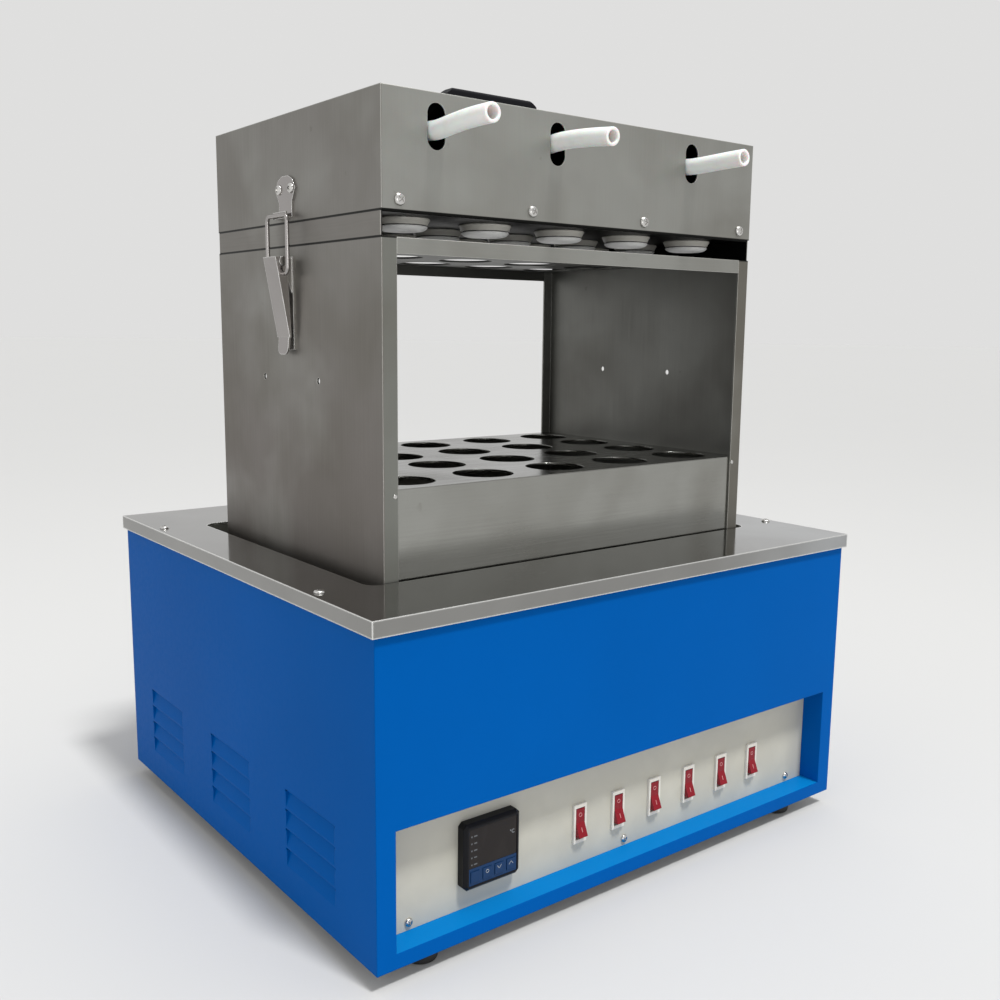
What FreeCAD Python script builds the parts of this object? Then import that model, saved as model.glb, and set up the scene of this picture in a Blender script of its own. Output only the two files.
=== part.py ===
"""Block digester: a louvred steel housing with a heating block, a lift-out tube rack and an exhaust hood.

Frame: +Z up, X along the width, front at -Y. The origin lies on the bench under the middle of the
housing. Lengths are in millimetres, angles in degrees.
"""
import FreeCAD, Part
import math
import os
import re
import Sketcher

SIZES = [
    # housing, deck and feet
    ("foot_rise", 12, "bench to the underside of the housing"),
    ("foot_radius", 13, "foot, at the housing"),
    ("foot_tip_radius", 11, "foot, at the bench"),
    ("foot_side", 44, "foot centre from the housing's left and right walls"),
    ("foot_edge", 20, "foot centre from the housing's front and rear"),
    ("housing_width", 442, "over the side walls"),
    ("housing_depth", 407, "front wall to rear cover"),
    ("deck_rise", 220, "housing underside to the top of the deck"),
    ("housing_sheet", 1.2, "housing, rear cover and recess frame"),
    ("base_sheet", 1.5, "base plate"),
    ("deck_sheet", 1.5, "deck plate"),
    ("deck_overhang", 2.7, "deck past the housing, each side"),
    ("deck_lip", 10.7, "depth of the folded edge"),
    ("deck_corner", 10, "corner radius of the deck opening"),
    ("deck_screw_edge", 8, "deck screw from the deck's side edge"),
    ("deck_screw_place", 130, "deck screw from the middle, front and back"),
    ("screw_radius", 3.6, "heads of the cover screws"),
    ("screw_head", 2.2, "rise of a screw head"),
    ("rear_return", 14, "side wall's inward fold at the back"),
    # louvres
    ("louvre_length", 68, "slit length"),
    ("louvre_window", 12.6, "window height behind one blade"),
    ("louvre_slit", 1.4, "open slit over a blade"),
    ("louvre_depth", 2.6, "how far a blade leans inwards"),
    ("louvre_pitch", 14, "slit to slit"),
    ("louvre_low", 22.5, "lowest window above the housing underside"),
    ("louvre_group_pitch", 123.4, "group to group"),
    ("louvre_shift", 2.7, "middle group behind the middle of the side"),
    # recessed control panel
    ("recess_width", 414.6, "opening in the front wall"),
    ("recess_low", 9.8, "opening above the housing underside"),
    ("recess_tall", 78.9, "height of the opening"),
    ("recess_depth", 18.3, "front wall to the panel"),
    ("panel_sheet", 2, "control panel"),
    ("panel_margin", 5, "panel hidden behind the recess frame"),
    ("panel_screw_side", 20.3, "outer panel screws inside the opening, left and right"),
    ("panel_screw_radius", 2.9, "panel screw head"),
    ("panel_screw_edge", 5.3, "panel screws inside the opening, top and bottom"),
    # temperature controller
    ("controller_side", 80.9, "centre from the left end of the opening"),
    ("controller_level", 47.7, "centre above the housing underside"),
    ("controller_face", 45.4, "bezel, square"),
    ("controller_proud", 8, "bezel in front of the panel"),
    ("controller_chamfer", 2, "bezel edge"),
    ("bezel_corner", 2.6, "bezel's cut corners"),
    ("case_side", 42.4, "case behind the panel"),
    ("case_depth", 62, "case behind the panel"),
    ("bezel_rim", 3.2, "rim around the display and keys"),
    ("display_tall", 27, "display window"),
    ("display_depth", 2.4, "recess behind the window and keys"),
    ("window_sheet", 1, "window and key strip"),
    ("insert_gap", 0.1, "window and key strip inside the rim"),
    ("insert_drop", 0.3, "window and key strip behind the bezel's face"),
    ("key_count", 4, "keys on the strip"),
    ("key_width", 6.8, "key"),
    ("key_tall", 7.4, "key"),
    ("key_proud", 0.5, "key in front of the strip"),
    ("key_gap", 0.15, "key inside its cut-out"),
    # rocker switches
    ("switch_first", -45, "first switch, across"),
    ("switch_pitch", 37, "switch to switch"),
    ("switch_level", 40.4, "centre above the housing underside"),
    ("switch_width", 11.8, "frame"),
    ("switch_tall", 28.4, "frame"),
    ("switch_proud", 2, "frame in front of the panel"),
    ("switch_body_width", 10, "body through the panel"),
    ("switch_body_tall", 26, "body through the panel"),
    ("switch_body_depth", 20, "body behind the panel"),
    ("rocker_width", 7.8, "rocker"),
    ("rocker_tall", 20.6, "rocker, end to end"),
    ("rocker_swing", 22, "angle from off to on"),
    ("rocker_pivot", 4, "pivot behind the rocker's waist"),
    ("rocker_skirt", 0.6, "rocker's ends narrow by this at the pivot"),
    ("rocker_hump", 3, "rocker's back behind its pivot"),
    ("rocker_gap", 0.3, "rocker inside its frame, each side"),
    ("rocker_end_gap", 1.4, "rocker inside its frame, each end"),
    # heating block and its well
    ("side_gap", 11.6, "rack to the deck opening, left and right"),
    ("front_gap", 1.6, "rack to the deck opening, front"),
    ("back_gap", 22.5, "rack to the deck opening, back"),
    ("liner_step", 2, "liner wall outside the deck opening"),
    ("liner_sheet", 1.2, "well liner"),
    ("liner_rise", 100, "housing underside to the liner"),
    ("liner_flange", 10, "liner flange under the deck"),
    ("insulation_floor", 16, "ceramic fibre under the block"),
    ("rim_drop", 16, "deck top to the rim that carries the rack"),
    ("rim_sheet", 1.5, "rim plate"),
    ("block_margin", 7.5, "block outside the outer wells"),
    ("block_floor", 20, "block under the wells"),
    ("heater_sheet", 6, "flat heater under the block"),
    ("heater_margin", 6, "flat heater inside the block's outline"),
    ("probe_radius", 2.4, "temperature probe"),
    ("probe_reach", 34, "probe inside the block"),
    ("probe_tail", 20, "probe under the liner"),
    ("bore_gap", 0.05, "running gap round a rod, pin or probe"),
    ("stand_side", 12, "liner stand, square"),
    ("stand_inset", 20, "liner stand from the liner's sides"),
    # electrical parts on the base plate
    ("sink_place", 120, "heat sink centre, across"),
    ("sink_back", 162, "heat sink centre behind the middle"),
    ("sink_width", 120, "heat sink"),
    ("sink_depth", 70, "heat sink"),
    ("sink_floor", 6, "heat sink plate"),
    ("fin_rise", 22, "heat sink fins"),
    ("fin_sheet", 2.5, "heat sink fin"),
    ("fin_count", 9, "fins"),
    ("relay_width", 44, "solid-state relay"),
    ("relay_depth", 58, "solid-state relay"),
    ("relay_rise", 23, "solid-state relay"),
    ("relay_pitch", 54, "relay to relay"),
    ("terminal_place", 30, "terminal block centre, across"),
    ("terminal_width", 60, "terminal block"),
    ("terminal_depth", 24, "terminal block"),
    ("terminal_rise", 22, "terminal block"),
    ("terminal_ways", 6, "terminals"),
    # tube rack
    ("rack_width", 343, "over the side walls"),
    ("rack_depth", 241.4, "front to back"),
    ("rack_shift", -13.6, "rack centre behind the housing's middle"),
    ("rack_sheet", 1.5, "rack"),
    ("plate_rise", 60, "deck top to the lower hole plate"),
    ("rack_rise", 217.4, "deck top to the rack's top"),
    ("post_width", 11, "folded post at each corner"),
    ("rail_drop", 10, "depth of the upper rails"),
    ("hole_radius", 22, "tube hole"),
    ("well_radius", 21.5, "well in the block"),
    ("columns", 5, "wells across"),
    ("rows", 4, "wells front to back"),
    ("column_pitch", 67.5, "across"),
    ("row_pitch", 58, "front to back"),
    ("hook_hole_radius", 2.2, "holes for the lifting hooks"),
    ("hook_hole_pitch", 82, "hook hole to hook hole"),
    ("hook_hole_rise", 125.5, "hook holes above the deck"),
    ("rivet_radius", 1.5, "rack rivet"),
    ("rivet_head", 0.6, "rack rivet"),
    ("rivet_inset", 2.2, "rivet from the post's inner edge"),
    ("rivet_drop", 4.5, "rivets under the top of the lower hole plate"),
    # exhaust hood
    ("band_rise", 16, "side flange of the cap tray"),
    ("cover_rise", 72.8, "hood cover"),
    ("hood_sheet", 1.2, "hood cover and cap tray"),
    ("tray_upstand", 13, "tray's front and rear fixing flange"),
    ("hood_screw_radius", 4, "cover screw head, front and rear"),
    ("hood_screw_head", 2.8, "rise of a cover screw head"),
    ("hood_screw_rise", 6.6, "front screws above the cover's lower edge"),
    ("hood_screw_inner", 52.8, "inner screws from the middle"),
    ("hood_screw_outer", 158.5, "outer screws from the middle"),
    ("slot_width", 13.6, "suction slot"),
    ("slot_tall", 28.4, "suction slot"),
    ("slot_rise", 52.4, "slot centre above the cap tray"),
    ("slot_left", -131, "first slot, across"),
    ("slot_middle", -31.4, "second slot, across"),
    ("slot_right", 101.5, "third slot, across"),
    ("cap_radius", 18.2, "stopper"),
    ("cap_rise", 5, "stopper"),
    ("seal_radius", 16.7, "white disc at its wide end"),
    ("seal_tip_radius", 16, "white disc at its lower end"),
    ("seal_rise", 3.2, "white disc"),
    ("plenum_margin", 22, "plenum inside the hood, each side"),
    ("plenum_gap", 10, "plenum under the hood's top"),
    ("spigot_reach", 15, "spigot in front of the plenum"),
    ("spigot_bore", 3, "hole through a spigot"),
    ("tube_radius", 6, "suction tube, outside"),
    ("tube_bore", 4, "suction tube, inside"),
    ("tube_reach", 57.4, "first suction tube in front of the hood"),
    ("tube_step", 3.8, "each further tube is shorter by this"),
    ("tube_droop", 3, "fall of a tube's free end"),
    ("grip_top", 74, "grip, flat top"),
    ("grip_length", 98, "grip, over its feet"),
    ("grip_rise", 34, "grip"),
    ("grip_width", 14, "grip, front to back"),
    ("grip_bar", 9, "grip bar"),
    ("grip_round", 3, "grip edges"),
    ("grip_shoulder", 6, "sloping shoulder outside the flat top"),
    ("grip_shoulder_drop", 4.5, "fall of the sloping shoulder"),
    ("grip_foot", 10, "foot, across"),
    ("grip_gap_inset", 4, "top of the finger gap inside the flat top"),
    # draw latches
    ("latch_shift", 3.5, "latch centre behind the rack's centre"),
    ("latch_sheet", 1.4, "base, lever and keeper"),
    ("latch_base_width", 18, "base plate"),
    ("latch_base_drop", 60.6, "base plate under the pivot"),
    ("latch_base_up", 3.4, "base plate over the pivot"),
    ("pivot_drop", 10.8, "pivot under the rack's top"),
    ("pivot_reach", 9, "pivot from the wall"),
    ("pivot_radius", 1.75, "pivot pin"),
    ("pivot_head_radius", 3.2, "pivot pin's heads"),
    ("ear_radius", 2.95, "ear round the pin"),
    ("pivot_head", 1.2, "pivot pin's head"),
    ("lever_width", 19, "lever, over its cheeks"),
    ("lever_length", 64, "pivot to tip"),
    ("lever_reach", 5.5, "lever's face outside the pivot"),
    ("lever_tip_width", 15, "finger tab"),
    ("lever_tip_round", 5, "corners of the finger tab"),
    ("lever_tab", 12, "finger tab's length"),
    ("lever_head", 3, "lever over its pivot"),
    ("lever_rest", 2, "lever's lower end off the base plate"),
    ("lever_flare", 1, "finger tab leans outwards by this"),
    ("cheek_head", 2, "cheek inside the pivot, at its top"),
    ("cheek_shoulder", 4, "cheek inside the pivot, at its widest"),
    ("cheek_bail", 3.4, "cheek inside the bail's pivot"),
    ("cheek_bail_drop", 4, "cheek under the bail's pivot"),
    ("ear_drop", 22, "ear's lower end under the pivot"),
    ("latch_gap", 0.3, "side gap between the moving pieces"),
    ("bail_drop", 8.3, "bail pivot under the lever pivot"),
    ("bail_inset", 1, "bail pivot inside the lever pivot"),
    ("wire_radius", 1.5, "bail wire"),
    ("bail_half", 15, "bail leg from the latch's centre"),
    ("bail_rise", 31, "bail bar over the lever pivot"),
    ("bail_bend", 4, "bail corners, at the middle of the wire"),
    ("keeper_width", 29, "keeper plate at its screws"),
    ("keeper_neck", 19, "keeper neck"),
    ("keeper_top", 31.4, "keeper's top over the cover's lower edge"),
    ("keeper_screw_rise", 22.6, "keeper screws over the cover's lower edge"),
    ("keeper_screw_pitch", 17.8, "screw to screw"),
    ("keeper_lip", 4.6, "height of the upturned lip"),
    ("keeper_play", 0.5, "hook under the bail's bar"),
    ("keeper_waist", 9, "top of the neck under the screws"),
    ("keeper_corner", 4, "upper corner, across"),
    ("keeper_corner_drop", 2.5, "upper corner, down"),
    # mains lead
    ("lead_radius", 4.5, "mains lead"),
    ("gland_place", 150, "gland, across"),
    ("gland_level", 34, "gland above the housing underside"),
    ("gland_radius", 11, "gland nut"),
    ("gland_thread_radius", 7.7, "threaded neck through the rear cover"),
    ("gland_nut", 6, "gland nut"),
    ("gland_thread", 6, "threaded neck inside the rear cover's face"),
    ("gland_locknut", 4, "lock nut inside"),
    ("gland_reach", 26, "gland and bend relief behind the cover"),
    ("gland_tip_radius", 6.2, "end of the bend relief"),
    ("lead_out", 38, "the lead runs level behind the gland"),
    ("lead_fall", 55, "then falls to the bench"),
    ("lead_drift", 20, "drift to the left as it falls"),
    ("lead_turn", 29, "then turns on the bench"),
    ("lead_turn_drift", 27, "drift to the left as it turns"),
    ("coil_radius", 50, "middle of the coil's turns"),
    ("coil_place", -6, "coil centre, across"),
    ("coil_back", 313, "coil centre behind the middle"),
    ("coil_layers", 2, "layers of turns"),
    ("coil_tail", 35, "straight start and end of the coil"),
    ("tail_radius", 4.4, "straight start and end of the coil"),
    ("relief_length", 22, "plug's bend relief"),
    ("plug_width", 36, "plug"),
    ("plug_length", 38, "plug"),
    ("plug_rise", 27, "plug"),
    ("plug_edge", 3, "plug's long edges"),
    ("pin_reach", 18, "plug pin"),
    ("pin_width", 6.4, "plug pin"),
    ("pin_sheet", 1.6, "plug pin"),
    ("pin_place", 8, "plug pin from the plug's middle"),
]

doc = FreeCAD.newDocument("BlockDigester")
sheet = doc.addObject("Spreadsheet::Sheet", "Sizes")
for row, (name, size, note) in enumerate(SIZES, start=1):
    sheet.set(f"A{row}", name)
    sheet.set(f"B{row}", str(size))
    sheet.set(f"C{row}", note)
    sheet.setAlias(f"B{row}", name)
doc.recompute()
ALIASES = {name for name, _, _ in SIZES}

# Derived places, as expressions over the sheet
HALF_WIDTH = "(housing_width / 2)"
HALF_DEPTH = "(housing_depth / 2)"
DECK_TOP = "(foot_rise + deck_rise)"
DECK_UNDER = f"({DECK_TOP} - deck_sheet)"
RECESS_LOW = "(foot_rise + recess_low)"
RECESS_HIGH = "(foot_rise + recess_low + recess_tall)"
PANEL_FRONT = f"(recess_depth - {HALF_DEPTH})"
CONTROLLER_PLACE = "(controller_side - recess_width / 2)"
BASE_TOP = "(foot_rise + base_sheet)"
RACK_SIDE = "(rack_width / 2)"
RACK_FRONT = "(rack_shift - rack_depth / 2)"
RACK_BACK = "(rack_shift + rack_depth / 2)"
OPENING_SIDE = f"({RACK_SIDE} + side_gap)"
OPENING_FRONT = f"({RACK_FRONT} - front_gap)"
OPENING_BACK = f"({RACK_BACK} + back_gap)"
LINER_SIDE = f"({OPENING_SIDE} + liner_step)"
LINER_FRONT = f"({OPENING_FRONT} - liner_step)"
LINER_BACK = f"({OPENING_BACK} + liner_step)"
LINER_LOW = "(foot_rise + liner_rise)"
LINER_FLOOR = f"({LINER_LOW} + liner_sheet)"
RIM_TOP = f"({DECK_TOP} - rim_drop)"
RIM_UNDER = f"({RIM_TOP} - rim_sheet)"
BLOCK_LOW = f"({LINER_FLOOR} + insulation_floor)"
WELL_FLOOR = f"({BLOCK_LOW} + block_floor)"
BLOCK_SIDE = "((columns - 1) * column_pitch / 2 + well_radius + block_margin)"
BLOCK_HALF_DEPTH = "((rows - 1) * row_pitch / 2 + well_radius + block_margin)"
BLOCK_FRONT = f"(rack_shift - {BLOCK_HALF_DEPTH})"
BLOCK_BACK = f"(rack_shift + {BLOCK_HALF_DEPTH})"
PLATE_TOP = f"({DECK_TOP} + plate_rise)"
RACK_TOP = f"({DECK_TOP} + rack_rise)"
TRAY_TOP = f"({RACK_TOP} + band_rise)"
TRAY_UNDER = f"({TRAY_TOP} - hood_sheet)"
HOOD_TOP = f"({TRAY_TOP} + cover_rise)"
CAP_LOW = f"({TRAY_UNDER} - cap_rise)"
SEAL_LOW = f"({CAP_LOW} - seal_rise)"
SLOT_LEVEL = f"({TRAY_TOP} + slot_rise)"
LATCH_MIDDLE = "(rack_shift + latch_shift)"
PIVOT_LEVEL = f"({RACK_TOP} - pivot_drop)"
PIVOT_PLACE = f"(-{RACK_SIDE} - pivot_reach)"
BAIL_PLACE = f"({PIVOT_PLACE} + bail_inset)"
BAIL_LEVEL = f"({PIVOT_LEVEL} - bail_drop)"


def sized(text):
    """An expression over the sheet's aliases, as FreeCAD reads it."""
    return re.sub(r"[a-z_]+", lambda word: f"Sizes.{word[0]}" if word[0] in ALIASES else word[0], str(text))


def number(text):
    """The present value of an expression."""
    return float(sheet.evalExpression(sized(text)))


def count(name):
    return int(round(number(name)))


def bind(thing, **places):
    """Ties properties to the sheet; a double underscore stands for the dot in a property's path."""
    for place, text in places.items():
        thing.setExpression(place.replace("__", "."), sized(text))


def origin_plane(body, role):
    return next(feature for feature in body.Origin.OriginFeatures if feature.Role == role)


class Outline:
    """A sketch on one of a body's origin planes, at a level along +X, +Y or +Z. Every corner is pinned
    to the sheet. Coordinates are (y, z) on YZ, (x, z) on XZ and (x, y) on XY."""

    def __init__(self, body, name, plane, level="0"):
        self.body, self.plane = body, plane
        self.sketch = body.newObject("Sketcher::SketchObject", name)
        self.sketch.AttachmentSupport = (origin_plane(body, f"{plane}_Plane"), [""])
        self.sketch.MapMode = "FlatFace"
        towards = "-1" if plane == "XZ" else "1"
        bind(self.sketch, AttachmentOffset__Base__z=f"{towards} * ({level})")

    def pin(self, geometry, point, x, y):
        for kind, text in (("DistanceX", x), ("DistanceY", y)):
            rule = Sketcher.Constraint(kind, -1, 1, geometry, point, number(text))
            index = self.sketch.addConstraint(rule)
            self.sketch.setExpression(f"Constraints[{index}]", sized(text))

    def line(self, start, end):
        points = [FreeCAD.Vector(number(x), number(y), 0) for x, y in (start, end)]
        return self.sketch.addGeometry(Part.LineSegment(*points), False)

    def polygon(self, *corners):
        sides = [self.line(a, b) for a, b in zip(corners, corners[1:] + corners[:1])]
        for side, after in zip(sides, sides[1:] + sides[:1]):
            self.sketch.addConstraint(Sketcher.Constraint("Coincident", side, 2, after, 1))
        for side, corner in zip(sides, corners):
            self.pin(side, 1, *corner)
        return self

    def box(self, x0, x1, y0, y1):
        return self.polygon((x0, y0), (x1, y0), (x1, y1), (x0, y1))

    def circle(self, x, y, radius):
        centre = FreeCAD.Vector(number(x), number(y), 0)
        ring = Part.Circle(centre, FreeCAD.Vector(0, 0, 1), number(radius))
        index = self.sketch.addGeometry(ring, False)
        self.pin(index, 3, x, y)
        rule = self.sketch.addConstraint(Sketcher.Constraint("Radius", index, number(radius)))
        self.sketch.setExpression(f"Constraints[{rule}]", sized(radius))
        return self

    def rounded(self, x0, x1, y0, y1, radius):
        """A box with round corners; with a radius of half its width it is a slot."""
        left, right = f"({x0} + {radius})", f"({x1} - {radius})"
        low, high = f"({y0} + {radius})", f"({y1} - {radius})"
        lines, arcs = [], []
        slot = abs(number(right) - number(left)) < 1e-6
        ends = [((left, y0), (right, y0)), ((right, y1), (left, y1))]
        sides = [((x1, low), (x1, high)), ((x0, high), (x0, low))]
        if slot:
            middle = f"(({x0} + {x1}) / 2)"
            runs, corners = sides, [(middle, high), (middle, low)]
        else:
            runs = [ends[0], sides[0], ends[1], sides[1]]
            corners = [(right, low), (right, high), (left, high), (left, low)]
        for start, end in runs:
            lines.append(self.line(start, end))
        sweep = math.pi if slot else math.pi / 2
        first = 0 if slot else -math.pi / 2
        for place, (x, y) in enumerate(corners):
            middle = FreeCAD.Vector(number(x), number(y), 0)
            ring = Part.Circle(middle, FreeCAD.Vector(0, 0, 1), number(radius))
            start = first + place * sweep
            arcs.append(self.sketch.addGeometry(Part.ArcOfCircle(ring, start, start + sweep), False))
        for place, (arc, (x, y)) in enumerate(zip(arcs, corners)):
            onward = lines[(place + 1) % len(lines)]
            self.sketch.addConstraint(Sketcher.Constraint("Tangent", lines[place], 2, arc, 1))
            self.sketch.addConstraint(Sketcher.Constraint("Tangent", arc, 2, onward, 1))
            self.pin(arc, 3, x, y)
            rule = self.sketch.addConstraint(Sketcher.Constraint("Radius", arc, number(radius)))
            self.sketch.setExpression(f"Constraints[{rule}]", sized(radius))
        return self


def feature(outline, kind, name, length, away):
    step = outline.body.newObject(f"PartDesign::{kind}", name)
    step.Profile = outline.sketch
    step.Reversed = away
    bind(step, Length=length)
    return step


def pad(outline, name, length):
    """Grows from the outline's level towards +X, +Y or +Z."""
    return feature(outline, "Pad", name, length, outline.plane == "XZ")


def pocket(outline, name, length):
    """Cuts from the outline's level towards +X, +Y or +Z, and must remove something."""
    doc.recompute()
    before = outline.body.Shape.Volume
    step = feature(outline, "Pocket", name, length, outline.plane != "XZ")
    doc.recompute()
    if not outline.body.Shape.Volume < before:
        raise RuntimeError(f"{name} cuts nothing")
    return step


def edges_where(body, test):
    """Names of a body's edges whose middle passes the test."""
    doc.recompute()
    found = []
    for index, edge in enumerate(body.Shape.Edges, start=1):
        middle = edge.valueAt((edge.FirstParameter + edge.LastParameter) / 2)
        if test(edge, middle):
            found.append(f"Edge{index}")
    return found


def dress(body, kind, name, edges, size):
    """A fillet or chamfer on named edges of the body's tip."""
    base = body.Tip
    step = body.newObject(f"PartDesign::{kind}", name)
    step.Base = (base, edges)
    bind(step, **{"Radius" if kind == "Fillet" else "Size": size})
    return step


def new_body(name):
    return doc.addObject("PartDesign::Body", name)


def block(name, x0, x1, y0, y1, z0, z1):
    shape = doc.addObject("Part::Box", name)
    bind(shape, Length=f"{x1} - ({x0})", Width=f"{y1} - ({y0})", Height=f"{z1} - ({z0})")
    bind(shape, Placement__Base__x=x0, Placement__Base__y=y0, Placement__Base__z=z0)
    return shape


TURNS = {
    "Z": FreeCAD.Rotation(),
    "Y": FreeCAD.Rotation(FreeCAD.Vector(1, 0, 0), -90),
    "X": FreeCAD.Rotation(FreeCAD.Vector(0, 1, 0), 90),
}


def rod(name, axis, x, y, z, radius, length):
    """A cylinder that starts at a point and runs towards +axis."""
    shape = doc.addObject("Part::Cylinder", name)
    shape.Placement = FreeCAD.Placement(FreeCAD.Vector(), TURNS[axis])
    bind(shape, Radius=radius, Height=length)
    bind(shape, Placement__Base__x=x, Placement__Base__y=y, Placement__Base__z=z)
    return shape


def cone(name, axis, x, y, z, radius, end_radius, length):
    shape = doc.addObject("Part::Cone", name)
    shape.Placement = FreeCAD.Placement(FreeCAD.Vector(), TURNS[axis])
    bind(shape, Radius1=radius, Radius2=end_radius, Height=length)
    bind(shape, Placement__Base__x=x, Placement__Base__y=y, Placement__Base__z=z)
    return shape


def joined(name, shapes):
    fuse = doc.addObject("Part::MultiFuse", name)
    fuse.Shapes = shapes
    return fuse


def drilled(name, base, tools):
    cut = doc.addObject("Part::Cut", name)
    cut.Base = base
    cut.Tool = tools[0] if len(tools) == 1 else joined(f"{name}_tools", tools)
    return cut


def group(name, shapes):
    """Identical loose pieces that share one node."""
    compound = doc.addObject("Part::Compound", name)
    compound.Links = shapes
    return compound


def mirrored(name, source):
    twin = doc.addObject("Part::Mirroring", name)
    twin.Source = source
    twin.Base = FreeCAD.Vector(0, 0, 0)
    twin.Normal = FreeCAD.Vector(1, 0, 0)
    return twin


def rounded_path(points, bend=None):
    """Straight runs joined by tangent arcs. With no bend given, each arc takes 0.45 of its shorter run."""
    corners = [FreeCAD.Vector(*point) for point in points]
    edges, start, radii = [], corners[0], []
    for before, corner, after in zip(corners, corners[1:], corners[2:]):
        back, ahead = (before - corner), (after - corner)
        shorter = min(back.Length, ahead.Length)
        half_turn = (math.pi - back.getAngle(ahead)) / 2
        radius = bend if bend else 0.45 * shorter / math.tan(half_turn)
        radii.append(radius)
        trim = radius * math.tan(half_turn)
        back.normalize()
        ahead.normalize()
        middle = (back + ahead).normalize()
        enter, leave = corner + back * trim, corner + ahead * trim
        crown = corner + middle * (radius / math.cos(half_turn) - radius)
        edges.append(Part.LineSegment(start, enter).toShape())
        edges.append(Part.Arc(enter, crown, leave).toShape())
        start = leave
    edges.append(Part.LineSegment(start, corners[-1]).toShape())
    return Part.Wire(edges), radii


def tube(name, points, radius, bend=None, bore=None):
    """A round bar, or a pipe with a bore, along a rounded path."""
    path, radii = rounded_path(points, bend)
    towards = FreeCAD.Vector(*points[1]) - FreeCAD.Vector(*points[0])
    start = FreeCAD.Vector(*points[0])

    def swept(size):
        ring = Part.Wire(Part.Circle(start, towards, size).toShape())
        return path.makePipeShell([ring], True, False)

    solid = swept(radius)
    if bore:
        solid = solid.cut(swept(bore))
    shape = doc.addObject("Part::Feature", name)
    shape.Shape = solid
    expected = math.pi * (radius**2 - (bore or 0) ** 2) * path.Length
    if abs(solid.Volume / expected - 1) > 0.01:
        raise RuntimeError(f"{name} has the wrong volume")
    print(f"{name}: {path.Length:.0f} mm long, bends of {', '.join(f'{r:.0f}' for r in radii)} mm")
    return shape


def well_centres():
    """Centres of the tube positions, as expressions."""
    for row in range(count("rows")):
        for column in range(count("columns")):
            x = f"({column} - (columns - 1) / 2) * column_pitch"
            y = f"rack_shift + ({row} - (rows - 1) / 2) * row_pitch"
            yield f"({x})", f"({y})"


# ---------------------------------------------------------------- housing


def make_housing_shell():
    """Front and side walls in one folded sheet, with louvres and the frame of the control recess."""
    body = new_body("housing_shell")
    inner_x, inner_y = f"({HALF_WIDTH} - housing_sheet)", f"({HALF_DEPTH} - housing_sheet)"
    fold = f"({HALF_WIDTH} - rear_return)"
    back_inside = f"({inner_y} - housing_sheet)"
    plan = Outline(body, "shell_plan", "XY", "foot_rise").polygon(
        (f"-{HALF_WIDTH}", f"-{HALF_DEPTH}"), (HALF_WIDTH, f"-{HALF_DEPTH}"), (HALF_WIDTH, inner_y),
        (fold, inner_y), (fold, back_inside), (inner_x, back_inside), (inner_x, f"-{inner_y}"),
        (f"-{inner_x}", f"-{inner_y}"), (f"-{inner_x}", back_inside), (f"-{fold}", back_inside),
        (f"-{fold}", inner_y), (f"-{HALF_WIDTH}", inner_y),
    )
    pad(plan, "shell_walls", "deck_rise - deck_sheet")
    recess = Outline(body, "recess_outline", "XZ", f"-{HALF_DEPTH}")
    recess.box("-recess_width / 2", "recess_width / 2", RECESS_LOW, RECESS_HIGH)
    pocket(recess, "recess_cut", "housing_sheet")
    frame = Outline(body, "recess_frame_outline", "XZ", f"-{HALF_DEPTH}")
    frame.box("-recess_width / 2", "recess_width / 2", RECESS_LOW, RECESS_HIGH)
    frame.box("-recess_width / 2 - housing_sheet", "recess_width / 2 + housing_sheet",
              f"{RECESS_LOW} - housing_sheet", f"{RECESS_HIGH} + housing_sheet")
    pad(frame, "recess_frame", "recess_depth")
    windows = Outline(body, "louvre_windows", "YZ", f"-{HALF_WIDTH} - 1")
    for start in louvre_starts():
        for low in louvre_lows():
            windows.box(start, f"{start} + louvre_length", low, f"{low} + louvre_window")
    pocket(windows, "louvre_cut", "housing_width + 2")
    for place, start in enumerate(louvre_starts()):
        blades = Outline(body, f"louvre_blades_{place}", "XZ", start)
        for low in louvre_lows():
            for side in ("-1", "1"):
                blades.polygon(*louvre_section(low, side))
        pad(blades, f"louvre_pad_{place}", "louvre_length")
        for end, edge in (("front", start), ("rear", f"{start} + louvre_length - housing_sheet")):
            cheeks = Outline(body, f"louvre_cheeks_{place}_{end}", "XZ", edge)
            for low in louvre_lows():
                for side in ("-1", "1"):
                    cheeks.polygon(*louvre_cheek(low, side))
            pad(cheeks, f"louvre_cheek_pad_{place}_{end}", "housing_sheet")
    return body


def louvre_starts():
    for place in (-1, 0, 1):
        yield f"(louvre_shift + {place} * louvre_group_pitch - louvre_length / 2)"


def louvre_lows():
    for place in range(4):
        yield f"(foot_rise + louvre_low + {place} * louvre_pitch)"


def louvre_section(low, side):
    """A blade leaning inwards from the lower edge of its window, with the slit left open above it."""
    top = f"({low} + louvre_window - louvre_slit)"
    outer, inner = HALF_WIDTH, f"({HALF_WIDTH} - housing_sheet)"
    return (
        (f"{side} * {outer}", low),
        (f"{side} * ({outer} - louvre_depth)", top),
        (f"{side} * ({inner} - louvre_depth)", top),
        (f"{side} * {inner}", low),
    )


def louvre_cheek(low, side):
    """The drawn-in end of a louvre, which closes it between the wall and the blade."""
    blade = louvre_section(low, side)
    return (blade[0], (f"{side} * {HALF_WIDTH}", blade[1][1]), blade[2], blade[3])


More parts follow.
